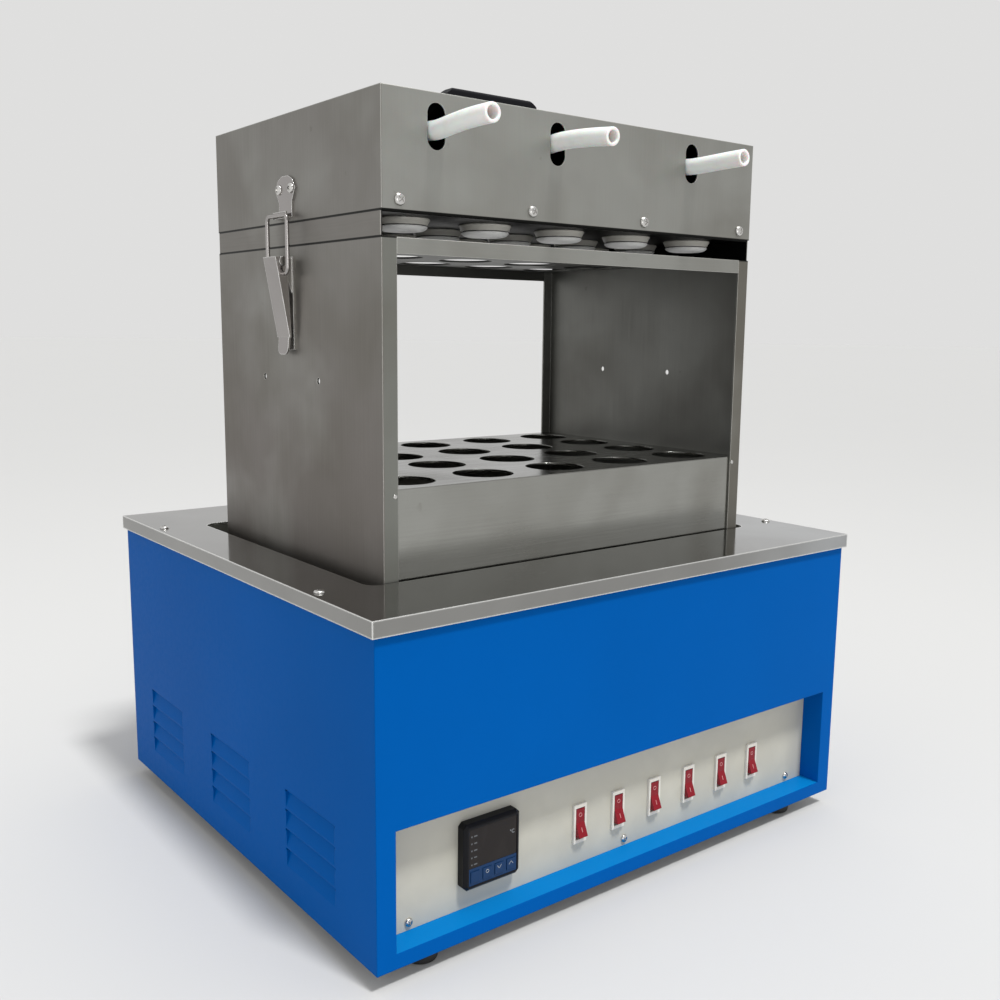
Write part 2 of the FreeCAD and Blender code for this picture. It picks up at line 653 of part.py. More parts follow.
def make_base_parts():
    inner_x, inner_y = f"({HALF_WIDTH} - housing_sheet)", f"({HALF_DEPTH} - 2 * housing_sheet)"
    base = block("base_plate", f"-{inner_x}", inner_x, f"-{HALF_DEPTH} + housing_sheet", inner_y,
                 "foot_rise", BASE_TOP)
    cover = new_body("rear_cover")
    outline = Outline(cover, "cover_outline", "XZ", f"{HALF_DEPTH} - housing_sheet")
    outline.box(f"-{HALF_WIDTH}", HALF_WIDTH, "foot_rise", DECK_UNDER)
    outline.circle("gland_place", "foot_rise + gland_level", "gland_thread_radius + bore_gap")
    pad(outline, "cover_pad", "housing_sheet")
    feet = []
    for x, y in ((-1, -1), (1, -1), (1, 1), (-1, 1)):
        feet.append(cone(f"foot_{len(feet)}", "Z", f"{x} * ({HALF_WIDTH} - foot_side)",
                         f"{y} * ({HALF_DEPTH} - foot_edge)", "0", "foot_tip_radius",
                         "foot_radius", "foot_rise"))
    return [base, cover, group("feet", feet)]


def make_deck():
    """A tray-shaped deck, folded down at its edges, with a round-cornered opening for the rack."""
    body = new_body("deck_plate")
    half_x, half_y = f"({HALF_WIDTH} + deck_overhang)", f"({HALF_DEPTH} + deck_overhang)"
    edge = Outline(body, "deck_outline", "XY", f"{DECK_TOP} - deck_lip")
    edge.box(f"-{half_x}", half_x, f"-{half_y}", half_y)
    pad(edge, "deck_pad", "deck_lip")
    inside = Outline(body, "deck_inside", "XY", f"{DECK_TOP} - deck_lip - 1")
    inside.box(f"-{half_x} + deck_sheet", f"{half_x} - deck_sheet",
               f"-{half_y} + deck_sheet", f"{half_y} - deck_sheet")
    pocket(inside, "deck_fold", "deck_lip + 1 - deck_sheet")
    opening = Outline(body, "deck_opening", "XY", f"{DECK_UNDER} - 1")
    opening.rounded(f"-{OPENING_SIDE}", OPENING_SIDE, OPENING_FRONT, OPENING_BACK, "deck_corner")
    pocket(opening, "deck_window", "deck_sheet + 2")
    screws = []
    for x in (-1, 1):
        for y in (-1, 1):
            screws.append(rod(f"deck_screw_{len(screws)}", "Z", f"{x} * ({half_x} - deck_screw_edge)",
                              f"{y} * deck_screw_place", DECK_TOP, "screw_radius", "screw_head"))
    return [body, group("deck_screws", screws)]


# ---------------------------------------------------------------- control panel


CONTROLLER_LEVEL = "(foot_rise + controller_level)"
SWITCH_LEVEL = "(foot_rise + switch_level)"


def switch_places():
    for place in range(6):
        yield f"(switch_first + {place} * switch_pitch)"


def make_control_panel():
    body = new_body("control_panel")
    face = Outline(body, "panel_outline", "XZ", PANEL_FRONT)
    reach = "(recess_width / 2 + panel_margin)"
    face.box(f"-{reach}", reach, f"{RECESS_LOW} - panel_margin", f"{RECESS_HIGH} + panel_margin")
    face.box(f"{CONTROLLER_PLACE} - case_side / 2", f"{CONTROLLER_PLACE} + case_side / 2",
             f"{CONTROLLER_LEVEL} - case_side / 2", f"{CONTROLLER_LEVEL} + case_side / 2")
    for x in switch_places():
        face.box(f"{x} - switch_body_width / 2", f"{x} + switch_body_width / 2",
                 f"{SWITCH_LEVEL} - switch_body_tall / 2", f"{SWITCH_LEVEL} + switch_body_tall / 2")
    pad(face, "panel_pad", "panel_sheet")
    screws = []
    for x in (-1, 0, 1):
        for z in (f"{RECESS_LOW} + panel_screw_edge", f"{RECESS_HIGH} - panel_screw_edge"):
            screws.append(rod(f"panel_screw_{len(screws)}", "Y",
                              f"{x} * (recess_width / 2 - panel_screw_side)",
                              f"{PANEL_FRONT} - screw_head", z, "panel_screw_radius", "screw_head"))
    return [body, group("panel_screws", screws)]


FACE_FRONT = f"({PANEL_FRONT} - controller_proud)"
INSERT_SIDE = "(controller_face / 2 - bezel_rim)"
DISPLAY_LOW = f"({CONTROLLER_LEVEL} + {INSERT_SIDE} - display_tall)"
STRIP_LOW = f"({CONTROLLER_LEVEL} - {INSERT_SIDE})"
STRIP_HIGH = f"({DISPLAY_LOW} - insert_gap)"
STRIP_FRONT = f"({FACE_FRONT} + insert_drop)"


def key_box(place, gap):
    """Edges of a key, or of its cut-out when a gap is given."""
    middle = f"({CONTROLLER_PLACE} + ({place} - (key_count - 1) / 2) * 2 * {INSERT_SIDE} / key_count)"
    level = f"(({STRIP_LOW} + {STRIP_HIGH}) / 2)"
    return (f"{middle} - key_width / 2 - {gap}", f"{middle} + key_width / 2 + {gap}",
            f"{level} - key_tall / 2 - {gap}", f"{level} + key_tall / 2 + {gap}")


def make_controller():
    """Panel controller: bezel and case in one moulding, display window, key strip and keys."""
    case = new_body("controller_case")
    left, right = f"({CONTROLLER_PLACE} - {INSERT_SIDE})", f"({CONTROLLER_PLACE} + {INSERT_SIDE})"
    bezel = Outline(case, "bezel_outline", "XZ", FACE_FRONT)
    half, cut = "controller_face / 2", "(controller_face / 2 - bezel_corner)"
    bezel.polygon(*[
        (f"{CONTROLLER_PLACE} {across}", f"{CONTROLLER_LEVEL} {up}")
        for across, up in (
            (f"- {cut}", f"- {half}"), (f"+ {cut}", f"- {half}"), (f"+ {half}", f"- {cut}"),
            (f"+ {half}", f"+ {cut}"), (f"+ {cut}", f"+ {half}"), (f"- {cut}", f"+ {half}"),
            (f"- {half}", f"+ {cut}"), (f"- {half}", f"- {cut}"),
        )
    ])
    pad(bezel, "bezel_pad", "controller_proud")
    front = number(FACE_FRONT)
    corners = edges_where(case, lambda edge, middle: abs(middle.y - front) < 0.01)
    dress(case, "Chamfer", "bezel_chamfer", corners, "controller_chamfer")
    rear = Outline(case, "case_outline", "XZ", PANEL_FRONT)
    half = "case_side / 2"
    rear.box(f"{CONTROLLER_PLACE} - {half}", f"{CONTROLLER_PLACE} + {half}",
             f"{CONTROLLER_LEVEL} - {half}", f"{CONTROLLER_LEVEL} + {half}")
    pad(rear, "case_pad", "case_depth")
    recess = Outline(case, "insert_recess", "XZ", f"{FACE_FRONT} - 1")
    recess.box(left, right, STRIP_LOW, f"{DISPLAY_LOW} + display_tall")
    pocket(recess, "insert_pocket", "display_depth + 1")

    window = block("controller_window", f"{left} + insert_gap", f"{right} - insert_gap", STRIP_FRONT,
                   f"{FACE_FRONT} + display_depth", DISPLAY_LOW, f"{DISPLAY_LOW} + display_tall - insert_gap")
    strip = new_body("controller_keypad")
    face = Outline(strip, "strip_outline", "XZ", STRIP_FRONT)
    face.box(f"{left} + insert_gap", f"{right} - insert_gap", f"{STRIP_LOW} + insert_gap", STRIP_HIGH)
    for place in range(count("key_count")):
        face.box(*key_box(place, "key_gap"))
    pad(face, "strip_pad", "window_sheet")
    keys = []
    for place in range(count("key_count")):
        x0, x1, z0, z1 = key_box(place, "0")
        keys.append(block(f"controller_key_{place + 1}", x0, x1, f"{STRIP_FRONT} - key_proud",
                          f"{STRIP_FRONT} + window_sheet", z0, z1))
    return [case, window, strip] + keys


SWITCH_FRONT = f"({PANEL_FRONT} - switch_proud)"
ROCKER_PIVOT = f"({SWITCH_FRONT} + rocker_pivot)"


def make_switch_frame(name, x):
    """Snap-in frame and body of one rocker switch, hollow where the rocker swings."""
    body = new_body(name)
    bezel = Outline(body, f"{name}_bezel", "XZ", SWITCH_FRONT)
    bezel.box(f"{x} - switch_width / 2", f"{x} + switch_width / 2",
              f"{SWITCH_LEVEL} - switch_tall / 2", f"{SWITCH_LEVEL} + switch_tall / 2")
    pad(bezel, f"{name}_bezel_pad", "switch_proud")
    case = Outline(body, f"{name}_case", "XZ", PANEL_FRONT)
    case.box(f"{x} - switch_body_width / 2", f"{x} + switch_body_width / 2",
             f"{SWITCH_LEVEL} - switch_body_tall / 2", f"{SWITCH_LEVEL} + switch_body_tall / 2")
    pad(case, f"{name}_case_pad", "switch_body_depth")
    well = Outline(body, f"{name}_well", "XZ", f"{SWITCH_FRONT} - 1")
    half_x, half_z = "(rocker_width / 2 + rocker_gap)", "(rocker_tall / 2 + rocker_end_gap)"
    well.box(f"{x} - {half_x}", f"{x} + {half_x}", f"{SWITCH_LEVEL} - {half_z}", f"{SWITCH_LEVEL} + {half_z}")
    pocket(well, f"{name}_well_cut", "1 + rocker_pivot + rocker_tall / 2")
    return body


def make_rocker(name, x):
    """A rocker about its pivot, tipped so that its upper half is pressed in."""
    body = new_body(name)
    side = Outline(body, f"{name}_side", "YZ", "-rocker_width / 2")
    lift = "(rocker_tall / 2 * tan(rocker_swing / 2 * 1 deg))"
    side.polygon(
        ("-rocker_pivot", "0"), (f"-rocker_pivot - {lift}", "rocker_tall / 2"),
        ("0", "rocker_tall / 2 - rocker_skirt"), ("rocker_hump", "rocker_tall / 3"),
        ("rocker_hump", "-rocker_tall / 3"), ("0", "rocker_skirt - rocker_tall / 2"),
        (f"-rocker_pivot - {lift}", "-rocker_tall / 2"),
    )
    pad(side, f"{name}_pad", "rocker_width")
    body.Placement = FreeCAD.Placement(FreeCAD.Vector(), FreeCAD.Rotation(FreeCAD.Vector(-1, 0, 0), 1))
    bind(body, Placement__Base__x=x, Placement__Base__y=ROCKER_PIVOT, Placement__Base__z=SWITCH_LEVEL,
         Placement__Rotation__Angle="rocker_swing / 2")
    return body


def make_switches():
    frames, rockers = [], []
    for place, x in enumerate(switch_places(), start=1):
        frames.append(make_switch_frame(f"switch_frame_{place}", x))
        rockers.append(make_rocker(f"rocker_{place}", x))
    return [group("switch_frames", frames)] + rockers


# ---------------------------------------------------------------- heating block and what is round it


PROBE_PLACE = "(column_pitch / 2)"
PROBE_LOW = f"({LINER_LOW} - probe_tail)"
HEATER_LOW = f"({BLOCK_LOW} - heater_sheet)"


def make_well():
    """Liner under the deck opening, insulation, heating block with its wells, and the rim round it."""
    inside = (f"-{LINER_SIDE}", LINER_SIDE, LINER_FRONT, LINER_BACK)
    casting = (f"-{BLOCK_SIDE}", BLOCK_SIDE, BLOCK_FRONT, BLOCK_BACK)
    liner = new_body("well_liner")
    outer = [f"-{LINER_SIDE} - liner_sheet", f"{LINER_SIDE} + liner_sheet",
             f"{LINER_FRONT} - liner_sheet", f"{LINER_BACK} + liner_sheet"]
    walls = Outline(liner, "liner_outline", "XY", LINER_LOW).box(*outer)
    pad(walls, "liner_pad", f"{DECK_UNDER} - {LINER_LOW}")
    flange = Outline(liner, "liner_flange_outline", "XY", f"{DECK_UNDER} - liner_sheet")
    flange.box(f"-{LINER_SIDE} - liner_flange", f"{LINER_SIDE} + liner_flange",
               f"{LINER_FRONT} - liner_flange", f"{LINER_BACK} + liner_flange")
    pad(flange, "liner_flange_pad", "liner_sheet")
    hollow = Outline(liner, "liner_hollow", "XY", LINER_FLOOR)
    hollow.box(f"-{LINER_SIDE}", LINER_SIDE, LINER_FRONT, LINER_BACK)
    pocket(hollow, "liner_hollow_cut", f"{DECK_TOP} - {LINER_FLOOR}")
    hole = Outline(liner, "liner_probe", "XY", f"{LINER_LOW} - 1")
    hole.circle(PROBE_PLACE, "rack_shift", "probe_radius + bore_gap")
    pocket(hole, "liner_probe_cut", "liner_sheet + 2")

    wool = new_body("insulation")
    board = Outline(wool, "wool_outline", "XY", LINER_FLOOR).box(*inside)
    pad(board, "wool_pad", f"{RIM_UNDER} - {LINER_FLOOR}")
    nest = Outline(wool, "wool_nest", "XY", BLOCK_LOW).box(*casting)
    pocket(nest, "wool_nest_cut", f"{RIM_TOP} - {BLOCK_LOW}")
    heater_box = [f"heater_margin - {BLOCK_SIDE}", f"{BLOCK_SIDE} - heater_margin",
                  f"{BLOCK_FRONT} + heater_margin", f"{BLOCK_BACK} - heater_margin"]
    bed = Outline(wool, "heater_bed", "XY", HEATER_LOW).box(*heater_box)
    pocket(bed, "heater_bed_cut", "heater_sheet")
    heater = new_body("heater_plate")
    mat = Outline(heater, "heater_outline", "XY", HEATER_LOW).box(*heater_box)
    mat.circle(PROBE_PLACE, "rack_shift", "probe_radius + bore_gap")
    pad(mat, "heater_pad", "heater_sheet")
    hole = Outline(wool, "wool_probe", "XY", f"{LINER_FLOOR} - 1")
    hole.circle(PROBE_PLACE, "rack_shift", "probe_radius + bore_gap")
    pocket(hole, "wool_probe_cut", "insulation_floor + 2")

    metal = new_body("heating_block")
    sides = Outline(metal, "block_outline", "XY", BLOCK_LOW).box(*casting)
    pad(sides, "block_pad", f"{RIM_UNDER} - {BLOCK_LOW}")
    wells = Outline(metal, "block_wells", "XY", WELL_FLOOR)
    for x, y in well_centres():
        wells.circle(x, y, "well_radius")
    pocket(wells, "block_wells_cut", f"{RIM_TOP} - {WELL_FLOOR}")
    hole = Outline(metal, "block_probe", "XY", f"{BLOCK_LOW} - 1")
    hole.circle(PROBE_PLACE, "rack_shift", "probe_radius + bore_gap")
    pocket(hole, "block_probe_cut", "probe_reach + 1")

    probe = rod("temperature_probe", "Z", PROBE_PLACE, "rack_shift", PROBE_LOW, "probe_radius",
                f"{BLOCK_LOW} + probe_reach - {PROBE_LOW}")
    rim = new_body("well_rim")
    ring = Outline(rim, "rim_outline", "XY", RIM_UNDER).box(*inside)
    ring.box(*casting)
    pad(ring, "rim_pad", "rim_sheet")
    stands = []
    for x in (-1, 1):
        for edge, sign in ((LINER_FRONT, 1), (LINER_BACK, -1)):
            middle_x = f"({x} * ({LINER_SIDE} - stand_inset))"
            middle_y = f"({edge} + {sign} * stand_inset)"
            stands.append(block(f"stand_{len(stands)}",
                                f"{middle_x} - stand_side / 2", f"{middle_x} + stand_side / 2",
                                f"{middle_y} - stand_side / 2", f"{middle_y} + stand_side / 2",
                                BASE_TOP, LINER_LOW))
    return [liner, wool, heater, metal, probe, rim, group("liner_stands", stands)]


def make_electrics():
    """Finned heat sink with its relays on top, and the terminal block."""
    sink = new_body("heat_sink")
    comb = Outline(sink, "sink_section", "XZ", "sink_back - sink_depth / 2")
    left, top = "(sink_place - sink_width / 2)", f"({BASE_TOP} + fin_rise + sink_floor)"
    corners = [(left, top), (left, BASE_TOP)]
    step = "((sink_width - fin_sheet) / (fin_count - 1))"
    for fin in range(count("fin_count")):
        if fin:
            corners += [(f"{left} + {fin} * {step}", f"{BASE_TOP} + fin_rise"),
                        (f"{left} + {fin} * {step}", BASE_TOP)]
        corners.append((f"{left} + {fin} * {step} + fin_sheet", BASE_TOP))
        if fin < count("fin_count") - 1:
            corners.append((f"{left} + {fin} * {step} + fin_sheet", f"{BASE_TOP} + fin_rise"))
    corners.append((f"{left} + sink_width", top))
    comb.polygon(*corners)
    pad(comb, "sink_pad", "sink_depth")
    relays = []
    for side in (-1, 1):
        x = f"(sink_place + {side} * relay_pitch / 2)"
        relays.append(block(f"relay_{side + 1}", f"{x} - relay_width / 2", f"{x} + relay_width / 2",
                            "sink_back - relay_depth / 2", "sink_back + relay_depth / 2",
                            top, f"{top} + relay_rise"))
    terminals = new_body("terminal_block")
    plan = Outline(terminals, "terminal_plan", "XY", BASE_TOP)
    plan.box("terminal_place - terminal_width / 2", "terminal_place + terminal_width / 2",
             "sink_back - terminal_depth / 2", "sink_back + terminal_depth / 2")
    pad(plan, "terminal_pad", "terminal_rise")
    ways = Outline(terminals, "terminal_ways_outline", "XY", f"{BASE_TOP} + terminal_rise / 2")
    for way in range(count("terminal_ways")):
        x = f"(terminal_place + ({way} + 0.5 - terminal_ways / 2) * terminal_width / terminal_ways)"
        ways.box(f"{x} - terminal_width / terminal_ways / 3", f"{x} + terminal_width / terminal_ways / 3",
                 "sink_back - terminal_depth / 3", "sink_back + terminal_depth / 3")
    pocket(ways, "terminal_ways_cut", "terminal_rise")
    return [sink, group("relays", relays), terminals]


# ---------------------------------------------------------------- tube rack


def make_rack():
    inner = f"({RACK_SIDE} - rack_sheet)"
    left = new_body("rack_side_left")
    post = f"({RACK_SIDE} - post_width)"
    section = Outline(left, "side_section", "XY", RIM_TOP).polygon(
        (f"-{RACK_SIDE}", RACK_FRONT), (f"-{post}", RACK_FRONT), (f"-{post}", f"{RACK_FRONT} + rack_sheet"),
        (f"-{inner}", f"{RACK_FRONT} + rack_sheet"), (f"-{inner}", f"{RACK_BACK} - rack_sheet"),
        (f"-{post}", f"{RACK_BACK} - rack_sheet"), (f"-{post}", RACK_BACK), (f"-{RACK_SIDE}", RACK_BACK),
    )
    pad(section, "side_pad", f"{RACK_TOP} - {RIM_TOP}")
    holes = Outline(left, "hook_holes", "YZ", f"-{RACK_SIDE} - 1")
    for side in (-1, 1):
        holes.circle(f"{LATCH_MIDDLE} + {side} * hook_hole_pitch / 2", f"{DECK_TOP} + hook_hole_rise",
                     "hook_hole_radius")
    pocket(holes, "hook_holes_cut", "rack_sheet + 2")

    lower = new_body("rack_lower_plate")
    front, back = f"({RACK_FRONT} + rack_sheet)", f"({RACK_BACK} - rack_sheet)"
    fold = Outline(lower, "lower_section", "YZ", f"-{inner}").polygon(
        (front, RIM_TOP), (f"{front} + rack_sheet", RIM_TOP),
        (f"{front} + rack_sheet", f"{PLATE_TOP} - rack_sheet"),
        (f"{back} - rack_sheet", f"{PLATE_TOP} - rack_sheet"),
        (f"{back} - rack_sheet", RIM_TOP), (back, RIM_TOP),
        (back, PLATE_TOP), (front, PLATE_TOP),
    )
    pad(fold, "lower_pad", f"2 * {inner}")
    tube_holes(lower, "lower_holes", PLATE_TOP)

    upper = new_body("rack_upper_plate")
    flat = Outline(upper, "upper_outline", "XY", f"{RACK_TOP} - rack_sheet")
    flat.box(f"-{inner}", inner, front, back)
    pad(flat, "upper_pad", "rack_sheet")
    rails = Outline(upper, "rail_outline", "XY", f"{RACK_TOP} - rail_drop")
    rails.box(f"-{post}", post, RACK_FRONT, front)
    rails.box(f"-{post}", post, back, RACK_BACK)
    pad(rails, "rail_pad", "rail_drop")
    tube_holes(upper, "upper_holes", RACK_TOP)

    rivets = []
    for x in (-1, 1):
        for y in (f"{RACK_FRONT} - rivet_head", RACK_BACK):
            rivets.append(rod(f"rivet_{len(rivets)}", "Y",
                              f"{x} * ({RACK_SIDE} - post_width + rivet_inset)", y,
                              f"{PLATE_TOP} - rivet_drop", "rivet_radius", "rivet_head"))
    return [left, mirrored("rack_side_right", left), lower, upper, group("rack_rivets", rivets)]


def tube_holes(body, name, top):
    holes = Outline(body, name, "XY", f"{top} - rack_sheet - 1")
    for x, y in well_centres():
        holes.circle(x, y, "hole_radius")
    pocket(holes, f"{name}_cut", "rack_sheet + 2")


# ---------------------------------------------------------------- exhaust hood


def slot_places():
    return ("slot_left", "slot_middle", "slot_right")


def make_hood():
    cover = new_body("hood_cover")
    skin = Outline(cover, "cover_plan", "XY", TRAY_TOP).box(f"-{RACK_SIDE}", RACK_SIDE, RACK_FRONT, RACK_BACK)
    pad(skin, "hood_pad", "cover_rise")
    inside = Outline(cover, "hood_inside", "XY", f"{TRAY_TOP} - 1")
    inside.box(f"-{RACK_SIDE} + hood_sheet", f"{RACK_SIDE} - hood_sheet",
               f"{RACK_FRONT} + hood_sheet", f"{RACK_BACK} - hood_sheet")
    pocket(inside, "hood_inside_cut", "1 + cover_rise - hood_sheet")
    slots = Outline(cover, "slot_outline", "XZ", f"{RACK_FRONT} - 1")
    for x in slot_places():
        slots.rounded(f"{x} - slot_width / 2", f"{x} + slot_width / 2", f"{SLOT_LEVEL} - slot_tall / 2",
                      f"{SLOT_LEVEL} + slot_tall / 2", "(slot_width / 2)")
    pocket(slots, "slot_cut", "hood_sheet + 2")

    tray = new_body("cap_tray")
    front, back = f"({RACK_FRONT} + hood_sheet)", f"({RACK_BACK} - hood_sheet)"
    fold = Outline(tray, "tray_section", "XZ", front).polygon(
        (f"-{RACK_SIDE}", RACK_TOP), (f"-{RACK_SIDE} + hood_sheet", RACK_TOP),
        (f"-{RACK_SIDE} + hood_sheet", TRAY_UNDER), (f"{RACK_SIDE} - hood_sheet", TRAY_UNDER),
        (f"{RACK_SIDE} - hood_sheet", RACK_TOP), (RACK_SIDE, RACK_TOP), (RACK_SIDE, TRAY_TOP),
        (f"-{RACK_SIDE}", TRAY_TOP),
    )
    pad(fold, "tray_pad", f"{back} - {front}")
    upstands = Outline(tray, "upstand_outline", "XY", TRAY_UNDER)
    inner = f"({RACK_SIDE} - hood_sheet)"
    upstands.box(f"-{inner}", inner, front, f"{front} + hood_sheet")
    upstands.box(f"-{inner}", inner, f"{back} - hood_sheet", back)
    pad(upstands, "upstand_pad", "tray_upstand")

    caps, seals = [], []
    for place, (x, y) in enumerate(well_centres()):
        caps.append(rod(f"cap_{place}", "Z", x, y, CAP_LOW, "cap_radius", "cap_rise"))
        seals.append(cone(f"seal_{place}", "Z", x, y, SEAL_LOW, "seal_tip_radius", "seal_radius",
                          "seal_rise"))
    return [cover, tray, group("tube_caps", caps), group("cap_seals", seals)]


PLENUM_FRONT = f"({RACK_FRONT} + plenum_margin)"


def make_plenum():
    """Open-bottomed fume box on the tray, its spigots, and the suction tubes pushed on to them."""
    plenum = new_body("fume_plenum")
    side, top = f"({RACK_SIDE} - plenum_margin)", f"({HOOD_TOP} - plenum_gap)"
    plan = Outline(plenum, "plenum_plan", "XY", TRAY_TOP)
    plan.box(f"-{side}", side, PLENUM_FRONT, f"{RACK_BACK} - plenum_margin")
    pad(plan, "plenum_pad", f"{top} - {TRAY_TOP}")
    hollow = Outline(plenum, "plenum_hollow", "XY", f"{TRAY_TOP} - 1")
    hollow.box(f"-{side} + hood_sheet", f"{side} - hood_sheet", f"{PLENUM_FRONT} + hood_sheet",
               f"{RACK_BACK} - plenum_margin - hood_sheet")
    pocket(hollow, "plenum_hollow_cut", f"1 + {top} - {TRAY_TOP} - hood_sheet")
    spigots = Outline(plenum, "spigot_outline", "XZ", f"{PLENUM_FRONT} - spigot_reach")
    bores = Outline(plenum, "spigot_bores", "XZ", f"{PLENUM_FRONT} - spigot_reach - 1")
    for x in slot_places():
        spigots.circle(x, SLOT_LEVEL, "tube_bore - bore_gap")
        bores.circle(x, SLOT_LEVEL, "spigot_bore")
    pad(spigots, "spigot_pad", "spigot_reach")
    pocket(bores, "spigot_bores_cut", "spigot_reach + hood_sheet + 2")
    tubes = []
    for place, x in enumerate(slot_places()):
        start = number(f"{PLENUM_FRONT} - 1")
        stop = number(f"{RACK_FRONT} - tube_reach + {place} * tube_step")
        level, end_level = number(SLOT_LEVEL), number(f"{SLOT_LEVEL} - tube_droop")
        middle = number(f"{RACK_FRONT} - tube_reach / 5")
        points = [(number(x), start, level), (number(x), middle, level), (number(x), stop, end_level)]
        tubes.append(tube(f"suction_tube_{place + 1}", points, number("tube_radius"),
                          bore=number("tube_bore")))
    return [plenum] + tubes


def make_grip():
    """Black bridge grip across the hood's top."""
    body = new_body("hood_grip")
    front = "(rack_shift - grip_width / 2)"
    shoulder, waist = "(grip_top / 2 + grip_shoulder)", f"({HOOD_TOP} + grip_rise)"
    side = Outline(body, "grip_side", "XZ", front).polygon(
        ("-grip_length / 2", HOOD_TOP), ("grip_length / 2", HOOD_TOP),
        (shoulder, f"{waist} - grip_shoulder_drop"), ("grip_top / 2", waist),
        ("-grip_top / 2", waist), (f"-{shoulder}", f"{waist} - grip_shoulder_drop"),
    )
    pad(side, "grip_pad", "grip_width")
    gap = Outline(body, "grip_gap", "XZ", f"{front} - 1")
    gap.polygon(
        ("grip_foot - grip_length / 2", f"{HOOD_TOP} - 1"),
        ("grip_length / 2 - grip_foot", f"{HOOD_TOP} - 1"),
        ("grip_top / 2 - grip_gap_inset", f"{waist} - grip_bar"),
        ("grip_gap_inset - grip_top / 2", f"{waist} - grip_bar"),
    )
    pocket(gap, "grip_gap_cut", "grip_width + 2")
    top = number(waist)
    edges = edges_where(body, lambda edge, middle: middle.z > top - 0.01 and abs(middle.x) < 1)
    dress(body, "Fillet", "grip_fillet", edges, "grip_round")
    return body


def make_hood_screws():
    screws = []
    for x in ("-hood_screw_outer", "-hood_screw_inner", "hood_screw_inner", "hood_screw_outer"):
        for y in (f"{RACK_FRONT} - hood_screw_head", RACK_BACK):
            screws.append(rod(f"hood_screw_{len(screws)}", "Y", x, y, f"{TRAY_TOP} + hood_screw_rise",
                              "hood_screw_radius", "hood_screw_head"))
    plate = f"({RACK_SIDE} + latch_sheet)"
    for side, x in (("left", f"-{plate} - screw_head"), ("right", plate)):
        for y in (-1, 1):
            screws.append(rod(f"keeper_screw_{side}_{y + 1}", "X", x,
                              f"{LATCH_MIDDLE} + {y} * keeper_screw_pitch / 2",
                              f"{TRAY_TOP} + keeper_screw_rise", "screw_radius", "screw_head"))
    return group("hood_screws", screws)


# ---------------------------------------------------------------- draw latches (left, then mirrored)


BAR_LEVEL = f"({PIVOT_LEVEL} + bail_rise)"
EAR_OUTER = "(lever_width / 2 - latch_sheet - latch_gap)"


def at_pivot(angle):
    """A corner of an ear's rounded end, by its direction from the pin's centre."""
    turn = f"({angle} * 1 deg)"
    return f"({PIVOT_PLACE} + ear_radius * cos({turn}))", f"({PIVOT_LEVEL} + ear_radius * sin({turn}))"


def make_latch_base():
    """Plate on the rack wall with two ears, and the pin that the lever turns on."""
    plate = block("latch_plate", f"-{RACK_SIDE} - latch_sheet", f"-{RACK_SIDE}",
                  f"{LATCH_MIDDLE} - latch_base_width / 2", f"{LATCH_MIDDLE} + latch_base_width / 2",
                  f"{PIVOT_LEVEL} - latch_base_drop", f"{PIVOT_LEVEL} + latch_base_up")
    ears = new_body("latch_ears")
    wall = f"(-{RACK_SIDE} - latch_sheet)"
    for name, start in (("front", f"-{EAR_OUTER}"), ("rear", f"{EAR_OUTER} - latch_sheet")):
        ear = Outline(ears, f"{name}_ear", "XZ", f"{LATCH_MIDDLE} + ({start})").polygon(
            (wall, f"{PIVOT_LEVEL} - ear_drop"), at_pivot(-75), at_pivot(-120), at_pivot(-165), at_pivot(150),
            at_pivot(100), (wall, f"{PIVOT_LEVEL} + latch_base_up - latch_sheet"),
        )
        pad(ear, f"{name}_ear_pad", "latch_sheet")
    ears.AllowCompound = True
    pin = rod("pivot_pin", "Y", PIVOT_PLACE, f"{LATCH_MIDDLE} - lever_width / 2 - latch_gap", PIVOT_LEVEL,
              "pivot_radius", "lever_width + 2 * latch_gap")
    heads = [
        rod("pivot_head_front", "Y", PIVOT_PLACE,
            f"{LATCH_MIDDLE} - lever_width / 2 - latch_gap - pivot_head", PIVOT_LEVEL,
            "pivot_head_radius", "pivot_head"),
        rod("pivot_head_rear", "Y", PIVOT_PLACE, f"{LATCH_MIDDLE} + lever_width / 2 + latch_gap",
            PIVOT_LEVEL, "pivot_head_radius", "pivot_head"),
    ]
    return joined("latch_base_left", [plate, ears, pin] + heads)


